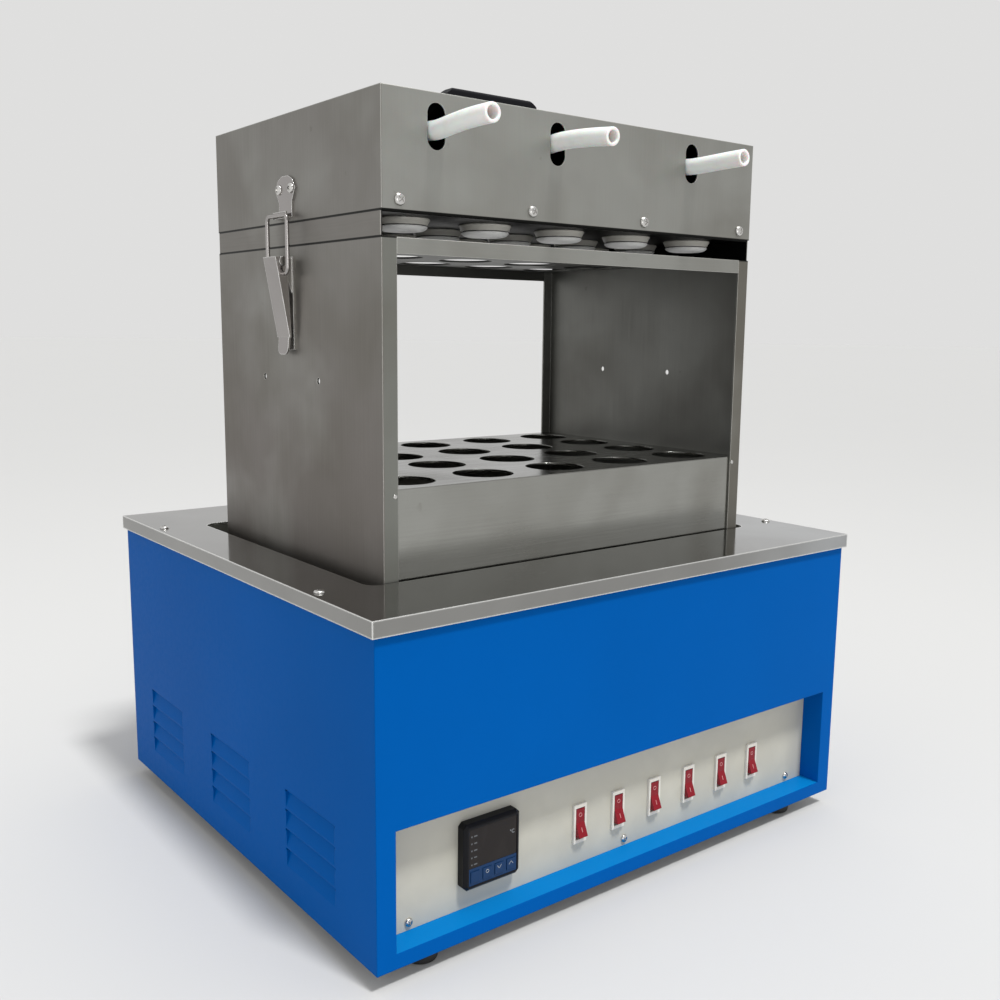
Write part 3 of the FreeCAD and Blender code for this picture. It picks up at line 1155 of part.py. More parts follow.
def make_lever():
    """Channel-shaped lever: an outer face and two tapering cheeks, ending in a flared finger tab."""
    body = new_body("latch_lever_left")
    face = f"({PIVOT_PLACE} - lever_reach)"
    tip = f"({PIVOT_LEVEL} - lever_length)"
    neck = f"({tip} + lever_tab)"
    near = f"(-{RACK_SIDE} - latch_sheet - lever_rest)"
    head = f"({PIVOT_LEVEL} + lever_head)"
    start = f"{LATCH_MIDDLE} - lever_width / 2"
    side = Outline(body, "lever_side", "XZ", start).polygon(
        (face, head), (f"{PIVOT_PLACE} + cheek_head", head),
        (f"{PIVOT_PLACE} + cheek_shoulder", f"{PIVOT_LEVEL} - cheek_head"),
        (f"{BAIL_PLACE} + cheek_bail", BAIL_LEVEL),
        (f"{BAIL_PLACE} + cheek_bail - wire_radius * 0.4", f"{BAIL_LEVEL} - cheek_bail_drop"),
        (near, neck), (f"{near} - latch_sheet", neck),
    )
    pad(side, "lever_pad", "lever_width")
    hollow = Outline(body, "lever_hollow", "XZ", f"{start} + latch_sheet").polygon(
        (f"{face} + latch_sheet", f"{head} + 1"), (f"{PIVOT_PLACE} + 12", f"{head} + 1"),
        (f"{near} + 12", f"{neck} + 4"), (f"{near} + 0.2", f"{neck} + 4"),
    )
    pocket(hollow, "lever_hollow_cut", "lever_width - 2 * latch_sheet")
    tab = Outline(body, "lever_tab_side", "XZ", f"{LATCH_MIDDLE} - lever_tip_width / 2").polygon(
        (near, f"{neck} + lever_reach"), (near, neck), (f"{near} - lever_flare", tip),
        (f"{near} - lever_flare - latch_sheet", tip), (f"{near} - latch_sheet", neck),
        (f"{near} - latch_sheet", f"{neck} + lever_reach"),
    )
    pad(tab, "lever_tab_pad", "lever_tip_width")
    low, half = number(tip), number("lever_tip_width / 2")
    corners = edges_where(body, lambda edge, middle: middle.z < low + 1
                          and abs(abs(middle.y - number(LATCH_MIDDLE)) - half) < 0.01
                          and abs(edge.Length - number("latch_sheet")) < 0.3)
    dress(body, "Fillet", "lever_tab_fillet", corners, "lever_tip_round")
    holes = Outline(body, "lever_holes", "XZ", f"{start} - 1")
    holes.circle(PIVOT_PLACE, PIVOT_LEVEL, "pivot_radius + bore_gap")
    holes.circle(BAIL_PLACE, BAIL_LEVEL, "wire_radius + bore_gap")
    pocket(holes, "lever_holes_cut", "lever_width + 2")
    return body


def make_bail():
    """Wire loop hooked into the lever's cheeks."""
    place, low, high = number(BAIL_PLACE), number(BAIL_LEVEL), number(BAR_LEVEL)
    middle, half = number(LATCH_MIDDLE), number("bail_half")
    inside = number("lever_width / 2 - latch_sheet")
    points = [
        (place, middle - inside, low), (place, middle - half, low), (place, middle - half, high),
        (place, middle + half, high), (place, middle + half, low), (place, middle + inside, low),
    ]
    return tube("latch_bail_left", points, number("wire_radius"), bend=number("bail_bend"))


def make_keeper():
    """Keeper plate on the hood: wide at its screws, a neck, and an upturned hook inside the bail."""
    body = new_body("latch_keeper_left")
    hook_low = f"({BAR_LEVEL} - wire_radius - keeper_play)"
    plate = Outline(body, "keeper_plate", "YZ", f"-{RACK_SIDE} - latch_sheet").polygon(
        (f"{LATCH_MIDDLE} - keeper_neck / 2", hook_low), (f"{LATCH_MIDDLE} + keeper_neck / 2", hook_low),
        (f"{LATCH_MIDDLE} + keeper_neck / 2", f"{TRAY_TOP} + keeper_screw_rise - keeper_waist"),
        (f"{LATCH_MIDDLE} + keeper_width / 2", f"{TRAY_TOP} + keeper_screw_rise"),
        (f"{LATCH_MIDDLE} + keeper_width / 2 - keeper_corner",
         f"{TRAY_TOP} + keeper_top - keeper_corner_drop"),
        (f"{LATCH_MIDDLE} + keeper_neck / 4", f"{TRAY_TOP} + keeper_top"),
        (f"{LATCH_MIDDLE} - keeper_neck / 4", f"{TRAY_TOP} + keeper_top"),
        (f"{LATCH_MIDDLE} - keeper_width / 2 + keeper_corner",
         f"{TRAY_TOP} + keeper_top - keeper_corner_drop"),
        (f"{LATCH_MIDDLE} - keeper_width / 2", f"{TRAY_TOP} + keeper_screw_rise"),
        (f"{LATCH_MIDDLE} - keeper_neck / 2", f"{TRAY_TOP} + keeper_screw_rise - keeper_waist"),
    )
    pad(plate, "keeper_pad", "latch_sheet")
    wall = f"(-{RACK_SIDE} - latch_sheet)"
    outer = f"({BAIL_PLACE} + wire_radius + latch_gap)"
    hook = Outline(body, "keeper_hook", "XZ", f"{LATCH_MIDDLE} - keeper_neck / 2").polygon(
        (wall, hook_low), (wall, f"{hook_low} + latch_sheet"),
        (f"{outer} + latch_sheet", f"{hook_low} + latch_sheet"),
        (f"{outer} + latch_sheet", f"{hook_low} + keeper_lip"),
        (outer, f"{hook_low} + keeper_lip"), (outer, hook_low),
    )
    pad(hook, "keeper_hook_pad", "keeper_neck")
    return body


def make_latches():
    left = [make_latch_base(), make_lever(), make_bail(), make_keeper()]
    right = [mirrored(piece.Name.replace("left", "right"), piece) for piece in left]
    return left + right


# ---------------------------------------------------------------- mains lead


COIL_OUTER = "(coil_radius + 2 * lead_radius)"
COIL_INNER = "(coil_radius - 2 * lead_radius)"
COIL_START = "(coil_back + coil_radius + lead_radius)"
COIL_END = "(coil_back - coil_radius - lead_radius)"
TOP_TURN = "((2 * coil_layers - 1) * lead_radius)"


def make_gland():
    """Cable gland with a tapered bend relief, through the rear cover."""
    level, cover = "foot_rise + gland_level", HALF_DEPTH
    pieces = [
        rod("gland_neck", "Y", "gland_place", f"{cover} - gland_thread", level, "gland_thread_radius",
            "gland_thread + gland_nut / 2"),
        rod("gland_nut_body", "Y", "gland_place", cover, level, "gland_radius", "gland_nut"),
        rod("gland_inner_nut", "Y", "gland_place", f"{cover} - housing_sheet - gland_locknut", level,
            "gland_radius", "gland_locknut"),
        cone("gland_relief", "Y", "gland_place", f"{cover} + gland_nut", level, "gland_radius * 0.85",
             "gland_tip_radius", "gland_reach - gland_nut"),
    ]
    return joined("cable_gland", pieces)


def make_lead():
    """The lead drops from the gland to the bench, turns, and runs into the outside of the coil."""
    radius = number("lead_radius")
    x, y = number("gland_place"), number(f"{HALF_DEPTH} + gland_reach")
    z = number("foot_rise + gland_level")
    end_x, end_y = number("coil_place + coil_tail"), number(COIL_START)
    out, fall, drift = number("lead_out"), number("lead_fall"), number("lead_drift")
    turn, turn_drift = number("lead_turn"), number("lead_turn_drift")
    points = [
        (x, y, z), (x, y + out, z), (x - drift, y + out + fall, radius),
        (x - drift - turn_drift, y + out + fall + turn, radius),
        (end_x + out, end_y, radius), (end_x, end_y, radius),
    ]
    lead = tube("mains_lead", points, radius)
    height = "(2 * coil_layers * lead_radius)"
    ring = rod("coil_ring", "Z", "coil_place", "coil_back", "0", COIL_OUTER, height)
    hole = rod("coil_hole", "Z", "coil_place", "coil_back", "-1", COIL_INNER, f"{height} + 2")
    start = rod("coil_start", "X", "coil_place", COIL_START, "lead_radius", "tail_radius", "coil_tail")
    end = rod("coil_end", "X", "coil_place", COIL_END, TOP_TURN, "tail_radius", "coil_tail")
    return [lead, joined("lead_coil", [drilled("coil_turns", ring, [hole]), start, end])]


def make_plug():
    """Moulded plug with three flat pins, lying on the bench at the coil's end."""
    tail, level = "(coil_place + coil_tail)", TOP_TURN
    front = f"({tail} + relief_length)"
    shell = new_body("plug_shell")
    side = Outline(shell, "plug_plan", "XY", "0").polygon(
        (front, f"{COIL_END} - plug_width / 3"), (f"{front} + plug_length", f"{COIL_END} - plug_width / 2"),
        (f"{front} + plug_length", f"{COIL_END} + plug_width / 2"), (front, f"{COIL_END} + plug_width / 3"),
    )
    pad(side, "plug_pad", "plug_rise")
    edges = edges_where(shell, lambda edge, middle: abs(middle.z - number("plug_rise") / 2) > 1)
    dress(shell, "Chamfer", "plug_edges", edges, "plug_edge")
    relief = cone("plug_relief", "X", tail, COIL_END, level, "lead_radius * 1.2", "lead_radius * 1.6",
                  "relief_length + 2")
    pins = []
    for x_step, z_step in ((-1, -0.5), (1, -0.5), (0, 0.6)):
        middle_y = f"({COIL_END} + {x_step} * pin_place)"
        middle_z = f"(plug_rise / 2 + {z_step} * pin_place)"
        pins.append(block(f"plug_pin_{len(pins)}",
                          f"{front} + plug_length - 2", f"{front} + plug_length + pin_reach",
                          f"{middle_y} - pin_sheet / 2", f"{middle_y} + pin_sheet / 2",
                          f"{middle_z} - pin_width / 2", f"{middle_z} + pin_width / 2"))
    return joined("mains_plug", [shell, relief] + pins)


nodes = [make_housing_shell()]
nodes += make_base_parts()
nodes += make_deck()
nodes += make_control_panel()
nodes += make_controller()
nodes += make_switches()
nodes += make_well()
nodes += make_electrics()
nodes += make_rack()
nodes += make_hood()
nodes += make_plenum()
nodes += [make_grip(), make_hood_screws()]
nodes += make_latches()
nodes += [make_gland()] + make_lead() + [make_plug()]

doc.recompute()
failed = [thing.Name for thing in doc.Objects if {"Invalid", "Error"} & set(thing.State)]
if failed:
    raise RuntimeError(f"features failed: {failed}")
os.makedirs("parts", exist_ok=True)
for node in nodes:
    if node.Shape.isNull() or not node.Shape.isValid():
        raise RuntimeError(f"{node.Label} has no sound shape")
    node.Shape.exportStep(f"parts/{node.Label}.step")
print(len(nodes), "nodes")
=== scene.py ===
import math

import bmesh
import bpy
from bpy.props import FloatProperty, FloatVectorProperty, IntProperty, PointerProperty
from mathutils import Matrix, Vector


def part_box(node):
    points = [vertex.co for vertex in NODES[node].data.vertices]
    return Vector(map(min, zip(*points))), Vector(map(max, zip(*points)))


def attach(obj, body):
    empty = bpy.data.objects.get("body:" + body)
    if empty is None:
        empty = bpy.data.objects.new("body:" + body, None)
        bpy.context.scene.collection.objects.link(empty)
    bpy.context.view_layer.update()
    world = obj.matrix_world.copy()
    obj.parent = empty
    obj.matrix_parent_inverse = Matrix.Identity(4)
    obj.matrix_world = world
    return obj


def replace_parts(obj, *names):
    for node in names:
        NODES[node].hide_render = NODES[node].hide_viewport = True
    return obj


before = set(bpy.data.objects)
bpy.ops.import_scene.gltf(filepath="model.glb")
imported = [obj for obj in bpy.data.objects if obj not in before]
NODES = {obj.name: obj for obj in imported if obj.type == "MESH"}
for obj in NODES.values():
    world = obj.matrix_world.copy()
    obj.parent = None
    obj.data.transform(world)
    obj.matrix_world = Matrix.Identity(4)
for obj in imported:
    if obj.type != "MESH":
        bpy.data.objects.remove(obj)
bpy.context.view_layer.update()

bl_info = {
    "name": "Block digester dressing",
    "version": (1, 0, 0),
    "blender": (4, 5, 0),
    "location": "3D View > Sidebar > Digester",
    "description": "Finishes, fasteners, marks, mains lead and studio for the block digester",
    "category": "Object",
}

QUARTER_TURN = math.pi / 2
X, Y, Z = range(3)

# Metres. A finish tells a sheet's face from the rest of the sheet by these depths.
FACE = 0.0006
SIDE_FACE = 0.0008
LEVEL_BLUR = 0.0002
# Width of the painted highlight along edges.
EDGE_HIGHLIGHT = 0.0009
SEAM_REACH = 0.0009


def colour(title, note, *value):
    return FloatVectorProperty(name=title, description=note, default=value,
                               subtype="COLOR", size=3, min=0, max=1)


def length(title, note, value):
    return FloatProperty(name=title, description=note, default=value,
                         subtype="DISTANCE", unit="LENGTH", min=0)


def strength(title, note, value):
    return FloatProperty(name=title, description=note, default=value, min=0)


class DigesterColours(bpy.types.PropertyGroup):
    housing: colour("Housing", "Powder coat of the housing", 0.0, 0.096, 0.390)
    # Painted light: the ledge colour is a lighter blue for the light falling from above onto the
    # ledge's top face.
    lit_ledge: colour("Ledge", "Powder coat of the ledge under the panel", 0.002, 0.188, 0.52)
    # Painted shade: the side and post colours are darker copies of the sheet for the left faces and
    # the front posts; the side colour is also browner.
    shaded_side_steel: colour("Side steel", "Browner sheet on the left side", 0.196, 0.180, 0.167)
    shaded_post_steel: colour("Post steel", "Duller sheet on the front posts", 0.205, 0.210, 0.190)
    steel: colour("Sheet steel", "Stainless sheet of rack and hood", 0.335, 0.336, 0.314)
    stain: colour("Steel stain", "Brownish heat and oil stains on the sheet", 0.150, 0.138, 0.115)
    # Painted shade: this colour darkens the inside of rack and hood; a darker share of it colours
    # the seams.
    shade_and_seams: colour("Soot", "Film that the fumes leave inside rack and hood", 0.045, 0.045, 0.042)
    deck: colour("Deck", "Polished stainless deck", 0.290, 0.288, 0.278)
    panel: colour("Panel", "Warm grey control panel", 0.50, 0.485, 0.415)
    frames: colour("Switch frames", "Pale snap-in frames", 0.72, 0.69, 0.62)
    rocker: colour("Rocker", "Red rocker switches", 0.215, 0.002, 0.010)
    rocker_mark: colour("Rocker marks", "Moulded on and off marks", 0.62, 0.28, 0.27)
    plastic: colour("Black plastic", "Controller, grip, gland and plug", 0.008, 0.008, 0.010)
    display: colour("Display", "Smoked display window", 0.015, 0.012, 0.011)
    keys: colour("Keys", "Blue key strip and keys", 0.006, 0.034, 0.105)
    marks: colour("Marks", "Printed marks", 0.30, 0.32, 0.34)
    silicone: colour("Silicone", "White suction tubes", 0.86, 0.87, 0.85)


class DigesterSizes(bpy.types.PropertyGroup):
    edge: length("Edge rounding", "Radius seen along sheet edges", 0.0007)
    screw_rim: length("Screw rim", "Rounded rim of a pan head", 0.0013)
    recess_depth: length("Recess depth", "Depth of the cross recess in a screw head", 0.0012)
    stopper_rim: length("Stopper rim", "Rounded rim of a stopper", 0.0011)
    mark_ring: length("Off mark", "Radius of the ring on a rocker", 0.0013)
    mark_bar: length("On mark", "Length of the bar on a rocker", 0.0032)
    mark_line: length("Mark line", "Line width of the marks", 0.0004)
    lead_diameter: length("Lead", "Diameter of the mains lead", 0.009)
    lead_length: length("Lead length", "Mains lead from gland to plug", 1.39)
    coil_inner: length("Inner turns", "Radius of the coil's inner turns", 0.0455)
    coil_outer: length("Outer turns", "Radius of the coil's outer turns", 0.0545)
    turn_points: IntProperty(name="Points a turn", description="Curve points in one turn",
                             default=16, min=12, max=32)


class DigesterStudio(bpy.types.PropertyGroup):
    lens: FloatProperty(name="Lens", description="Focal length in millimetres",
                        default=38.587, min=10, max=200)
    floor: colour("Floor", "Pale floor", 0.60, 0.60, 0.594)
    backdrop: strength("Backdrop", "Brightness seen behind the object", 0.74)
    sky: strength("Soft light", "Light from all round", 0.56)
    key: strength("Key light", "Strength of the broad key light", 2.3)


# ---- helpers


def chosen(context):
    """The sizes and colours set in the scene."""
    return context.scene.digester_sizes, context.scene.digester_colours


def deselect():
    if bpy.context.object and bpy.context.object.mode != "OBJECT":
        bpy.ops.object.mode_set(mode="OBJECT")
    bpy.ops.object.select_all(action="DESELECT")


def pick(*pieces):
    deselect()
    for piece in pieces:
        piece.select_set(True)
    bpy.context.view_layer.objects.active = pieces[-1]


def settle(piece, name=None):
    """Puts a piece's place, turn and scale into its mesh."""
    pick(piece)
    bpy.ops.object.transform_apply(location=True, rotation=True, scale=True)
    if name:
        piece.name = piece.data.name = name
    return piece


def merge(name, pieces):
    pick(*pieces)
    if len(pieces) > 1:
        bpy.ops.object.join()
    piece = bpy.context.object
    piece.name = piece.data.name = name
    return piece


def about(axis, angle=QUARTER_TURN):
    return Matrix.Rotation(angle, 4, axis)


def placed(piece, place, turn=None):
    """The piece, turned about the origin and then moved."""
    piece.matrix_world = Matrix.Translation(place) @ (turn or Matrix.Identity(4))
    return settle(piece)


def duplicate(source, place, turn=None):
    """A copy with its own mesh, turned about the origin and then moved."""
    twin = source.copy()
    twin.data = source.data.copy()
    bpy.context.collection.objects.link(twin)
    return placed(twin, place, turn)


def discard(*pieces):
    for piece in pieces:
        bpy.data.objects.remove(piece)


def smooth(piece, degrees=35):
    pick(piece)
    bpy.ops.object.shade_smooth_by_angle(angle=math.radians(degrees))
    return piece


def open_mesh():
    """Enters edit mode with the whole mesh of the active piece selected."""
    bpy.ops.object.mode_set(mode="EDIT")
    bpy.ops.mesh.select_all(action="SELECT")


def close_mesh():
    bpy.ops.object.mode_set(mode="OBJECT")


def modified(piece, kind, **values):
    """Gives the piece a modifier with these values and applies it."""
    modifier = piece.modifiers.new(kind, kind)
    for name, value in values.items():
        setattr(modifier, name, value)
    pick(piece)
    bpy.ops.object.modifier_apply(modifier=kind)


def rounded(piece, width, segments, degrees):
    """Rounds the edges where faces meet at more than the angle."""
    modified(piece, "BEVEL", width=width, segments=segments, limit_method="ANGLE",
             angle_limit=math.radians(degrees))


def turned(name, rings, sides=32):
    """A turned piece standing on the Z axis, drawn out ring by ring; a ring is (radius, height)."""
    deselect()
    radius, height = rings[0]
    bpy.ops.mesh.primitive_circle_add(vertices=sides, radius=radius, fill_type="NGON",
                                      location=(0, 0, height))
    piece = settle(bpy.context.object, name)
    open_mesh()
    for next_radius, next_height in rings[1:]:
        rise = (0, 0, next_height - height)
        bpy.ops.mesh.extrude_region_move(TRANSFORM_OT_translate={"value": rise})
        grown = next_radius / radius
        bpy.ops.transform.resize(value=(grown, grown, 1), center_override=(0, 0, next_height))
        radius, height = next_radius, next_height
    bpy.ops.mesh.select_all(action="SELECT")
    bpy.ops.mesh.normals_make_consistent(inside=False)
    close_mesh()
    return smooth(piece)


def bar(name, sizes, place=(0, 0, 0), rim=0.0, turn=None):
    """A small block, with rounded edges where it is given a rim."""
    deselect()
    bpy.ops.mesh.primitive_cube_add(size=1, location=(0, 0, 0))
    piece = bpy.context.object
    piece.scale = sizes
    settle(piece, name)
    if rim:
        open_mesh()
        bpy.ops.mesh.bevel(offset=rim, segments=2, affect="EDGES")
        close_mesh()
    return placed(piece, place, turn)


def ring(name, radius, line):
    deselect()
    bpy.ops.mesh.primitive_torus_add(major_segments=28, minor_segments=6,
                                     major_radius=radius, minor_radius=line / 2)
    return settle(bpy.context.object, name)


def hose_along(name, points, radius, order, fineness, roundness):
    """A round hose or cord whose middle follows the points smoothly."""
    curve = bpy.data.curves.new(f"{name}_line", "CURVE")
    curve.dimensions = "3D"
    curve.resolution_u = fineness
    curve.bevel_depth = radius
    curve.bevel_resolution = roundness
    line = curve.splines.new("NURBS")
    line.points.add(len(points) - 1)
    for knot, point in zip(line.points, points):
        knot.co = (*point, 1)
    line.order_u = order
    line.use_endpoint_u = True
    hose = bpy.data.objects.new(name, curve)
    bpy.context.collection.objects.link(hose)
    return hose


def facing(direction):
    """A turn that takes +Z to the direction and keeps +Y as near upright as it can be."""
    away = Vector(direction).normalized()
    side = Vector((0, 0, 1)).cross(away)
    if side.length < 1e-6:
        side = Vector((1, 0, 0))
    side.normalize()
    up = away.cross(side)
    return Matrix((side, up, away)).transposed().to_4x4()


def middle_of(low, high):
    """The middle of a box, seen from above."""
    return ((low.x + high.x) / 2, (low.y + high.y) / 2, 0)


def islands(node):
    """Lowest and highest corners of each loose solid in a CAD node."""
    mesh = bmesh.new()
    mesh.from_mesh(NODES[node].data)
    bmesh.ops.remove_doubles(mesh, verts=mesh.verts, dist=1e-6)
    unseen, boxes = set(mesh.verts), []
    while unseen:
        edge, members = [unseen.pop()], []
        while edge:
            vertex = edge.pop()
            members.append(vertex.co.copy())
            for line in vertex.link_edges:
                other = line.other_vert(vertex)
                if other in unseen:
                    unseen.remove(other)
                    edge.append(other)
        boxes.append((Vector(map(min, *members)), Vector(map(max, *members))))
    mesh.free()
    return sorted(boxes, key=lambda box: tuple(round(value, 4) for value in box[0]))


def stand_for(piece, node, body, finish):
    """Gives a piece its body, slot and finish, in place of a CAD node."""
    add_to(piece, body, finish)
    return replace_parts(piece, node)


def add_to(piece, body, finish):
    """Gives a piece that no CAD node has its body, slot and finish."""
    piece.data.materials.clear()
    piece.data.materials.append(finish)
    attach(piece, body)
    return piece


def coat(finish, *nodes):
    """Gives CAD nodes a finish, in place of their plain one."""
    for node in nodes:
        for place in NODES[node].material_slots:
            place.material = finish


# ---- finishes


class Nodes:
    """A node tree that is filled in node by node."""

    def __init__(self, tree):
        self.tree = tree

    def put(self, socket, value):
        """Links the output of another node to a socket, or sets a plain value on it."""
        if isinstance(value, bpy.types.NodeSocket):
            self.tree.links.new(value, socket)
        else:
            socket.default_value = value

    def fill(self, node, **values):
        for name, value in values.items():
            self.put(node.inputs[name.replace("_", " ")], value)
        return node

    def add(self, kind, **values):
        return self.fill(self.tree.nodes.new(f"ShaderNode{kind}"), **values)

    def span(self, value, low, high, to_low=0.0, to_high=1.0):
        node = self.add("MapRange", Value=value, From_Min=low, From_Max=high,
                        To_Min=to_low, To_Max=to_high)
        return node.outputs[0]

    def maths(self, operation, first, second):
        node = self.add("Math")
        node.operation = operation
        for socket, value in zip(node.inputs, (first, second)):
            self.put(socket, value)
        return node.outputs[0]


class Finish(Nodes):
    """A material built up node by node; its patterns read the piece's own place in metres."""

    def __init__(self, name, base, roughness, metallic=0.0, **values):
        self.material = bpy.data.materials.new(name)
        self.material.use_nodes = True
        super().__init__(self.material.node_tree)
        self.shader = self.tree.nodes["Principled BSDF"]
        self.base = tuple(base)[:3]
        self.fill(self.shader, Base_Color=(*self.base, 1), Roughness=roughness, Metallic=metallic,
                  **values)

    def place(self, stretch=(1, 1, 1), shift=(0, 0, 0)):
        where = self.add("TexCoord").outputs["Object"]
        return self.add("Mapping", Vector=where, Location=shift, Scale=stretch).outputs[0]

    def noise(self, scale, detail=2.0, stretch=(1, 1, 1), shift=(0, 0, 0), rough=0.5, warp=0.0):
        where = self.place(stretch, shift)
        node = self.add("TexNoise", Vector=where, Scale=scale, Detail=detail,
                        Roughness=rough, Distortion=warp)
        return node.outputs[0]

    def along(self, axis):
        """The piece's own place along one axis, in metres."""
        where = self.add("TexCoord").outputs["Object"]
        return self.add("SeparateXYZ", Vector=where).outputs[axis]

    def above(self, axis, level):
        return self.span(self.along(axis), level - LEVEL_BLUR, level + LEVEL_BLUR)

    def below(self, axis, level):
        return self.span(self.along(axis), level + LEVEL_BLUR, level - LEVEL_BLUR)

    def between(self, axis, low, high):
        return self.both(self.above(axis, low), self.below(axis, high))

    def seam(self, level):
        """1 on a level line round the piece and 0 away from it."""
        away = self.maths("ABSOLUTE", self.maths("SUBTRACT", self.along(Z), level), 0)
        return self.span(away, SEAM_REACH, SEAM_REACH * 0.6)

    def edge_highlight(self, radius):
        """1 along the piece's edges and 0 on its faces: the mask of a painted highlight."""
        soft = self.add("Bevel", Radius=radius)
        soft.samples = 6
        match = self.add("VectorMath")
        match.operation = "DOT_PRODUCT"
        self.put(match.inputs[0], soft.outputs[0])
        self.put(match.inputs[1], self.add("NewGeometry").outputs["Normal"])
        return self.span(match.outputs["Value"], 0.995, 0.88)

    def both(self, first, second):
        return self.maths("MULTIPLY", first, second)

    def blend(self, amount, first, second):
        """The first colour, run towards the second by the amount."""
        node = self.add("Mix")
        node.data_type = "RGBA"
        self.put(node.inputs[0], amount)
        for socket, value in zip(node.inputs[6:8], (first, second)):
            plain = not isinstance(value, bpy.types.NodeSocket)
            self.put(socket, (*tuple(value)[:3], 1) if plain else value)
        return node.outputs[2]

    def tinted(self, pattern, low, high, most, other):
        """Runs the base colour towards another one as the pattern rises from low to high."""
        amount = self.span(pattern, low, high, 0.0, most)
        self.fill(self.shader, Base_Color=self.blend(amount, self.base, other))

    def roughened(self, value, low, high, to_low, to_high):
        self.fill(self.shader, Roughness=self.span(value, low, high, to_low, to_high))

    def relief(self, *layers, edge=0.0):
        """Bumps of (height, distance, strength), over edges that are softened by a small radius."""
        normal = None
        if edge:
            node = self.add("Bevel", Radius=edge)
            node.samples = 6
            normal = node.outputs[0]
        for height, distance, strength in layers:
            node = self.add("Bump", Height=height, Distance=distance, Strength=strength)
            if normal:
                self.fill(node, Normal=normal)
            normal = node.outputs[0]
        self.fill(self.shader, Normal=normal)
        return self.material


def darker(base, share):
    return tuple(value * share for value in tuple(base)[:3])


def powder_coat(name, base, edge, tones=()):
    """Orange-peel powder coat with faint dust and rub marks.

    Each tone is a function that gives the share of another colour painted over the coat.
    """
    finish = Finish(name, base, 0.38, Specular_IOR_Level=0.015)
    cloud = finish.noise(6, 4, shift=(3, 1, 2))
    peel = finish.noise(1100, 2)
    dust = finish.noise(240, 5, shift=(7, 2, 4))
    shade = finish.blend(finish.span(cloud, 0.35, 0.75, 0.0, 0.45), base, darker(base, 0.82))
    for share, tone in tones:
        shade = finish.blend(share(finish), shade, tone)
    finish.fill(finish.shader, Base_Color=shade)
    finish.roughened(dust, 0.35, 0.7, 0.30, 0.42)
    return finish.relief((peel, 0.00012, 0.22), edge=edge)


def sheet_steel(name, colours, grain, edge, stain=0.6, streak=0.0, gloss=(0.40, 0.54), shade_and_seams=None,
                depth=0.75, shade_level=1.0, seams=(), tones=()):
    """Stainless sheet with rolling grain, cloudy handling stains, painted shade inside and dark
    seams.

    The grain's stretch is low along the rolling direction and high across it, and the edges carry a
    painted highlight. The shade function gives where the painted shade lies, depth is how strongly
    it darkens and the shade level the brightness of its colour. Each seam is a height in metres,
    and each tone is a function that gives the share of another colour painted over the sheet.
    """
    finish = Finish(name, colours.steel, 0.46, metallic=1.0)
    lines = finish.noise(1, 3, stretch=grain, rough=0.6)
    clouds = finish.noise(13, 3, shift=(1.3, 4.1, 0.7), rough=0.5, warp=0.2)
    patches = finish.noise(5, 2, shift=(5.1, 0.4, 2.2), warp=0.2)
    specks = finish.noise(95, 2, shift=(0.2, 9.4, 3.3))
    cloudy = finish.both(finish.span(clouds, 0.38, 0.72), finish.span(patches, 0.28, 0.66))
    amount = finish.both(cloudy, stain)
    if streak:
        runs = finish.noise(1, 3, stretch=(26, 26, 3.0), shift=(2, 6, 1), rough=0.5)
        amount = finish.maths("ADD", amount, finish.both(finish.span(runs, 0.50, 0.80), streak))
    amount = finish.maths("MAXIMUM", amount, finish.span(specks, 0.72, 0.80, 0.0, 0.35))
    base = colours.steel
    for share, tone in tones:
        base = finish.blend(share(finish), base, tone)
    wiped = finish.noise(9, 3, shift=(8.2, 2.6, 6.1), warp=0.3)
    base = finish.blend(finish.span(wiped, 0.50, 0.72, 0.0, 0.32), base, (0.46, 0.47, 0.445))
    base = finish.blend(amount, base, colours.stain)
    # Painted highlight: the sheet runs to a pale grey along its edges.
    highlit_edge = finish.both(finish.edge_highlight(EDGE_HIGHLIGHT), 0.55)
    base = finish.blend(highlit_edge, base, (0.70, 0.70, 0.66))
    # Painted shade: where the shade function gives, the sheet runs to a dark colour.
    if shade_and_seams:
        base = finish.blend(finish.both(shade_and_seams(finish), depth), base, darker(colours.shade_and_seams, shade_level))
    for level in seams:
        base = finish.blend(finish.seam(level), base, darker(colours.shade_and_seams, 0.4))
    finish.fill(finish.shader, Base_Color=base)
    dulled = finish.maths("ADD", finish.both(lines, 0.55), finish.both(clouds, 0.45))
    finish.roughened(dulled, 0.32, 0.68, *gloss)
    return finish.relief((lines, 0.00004, 0.22), edge=edge)


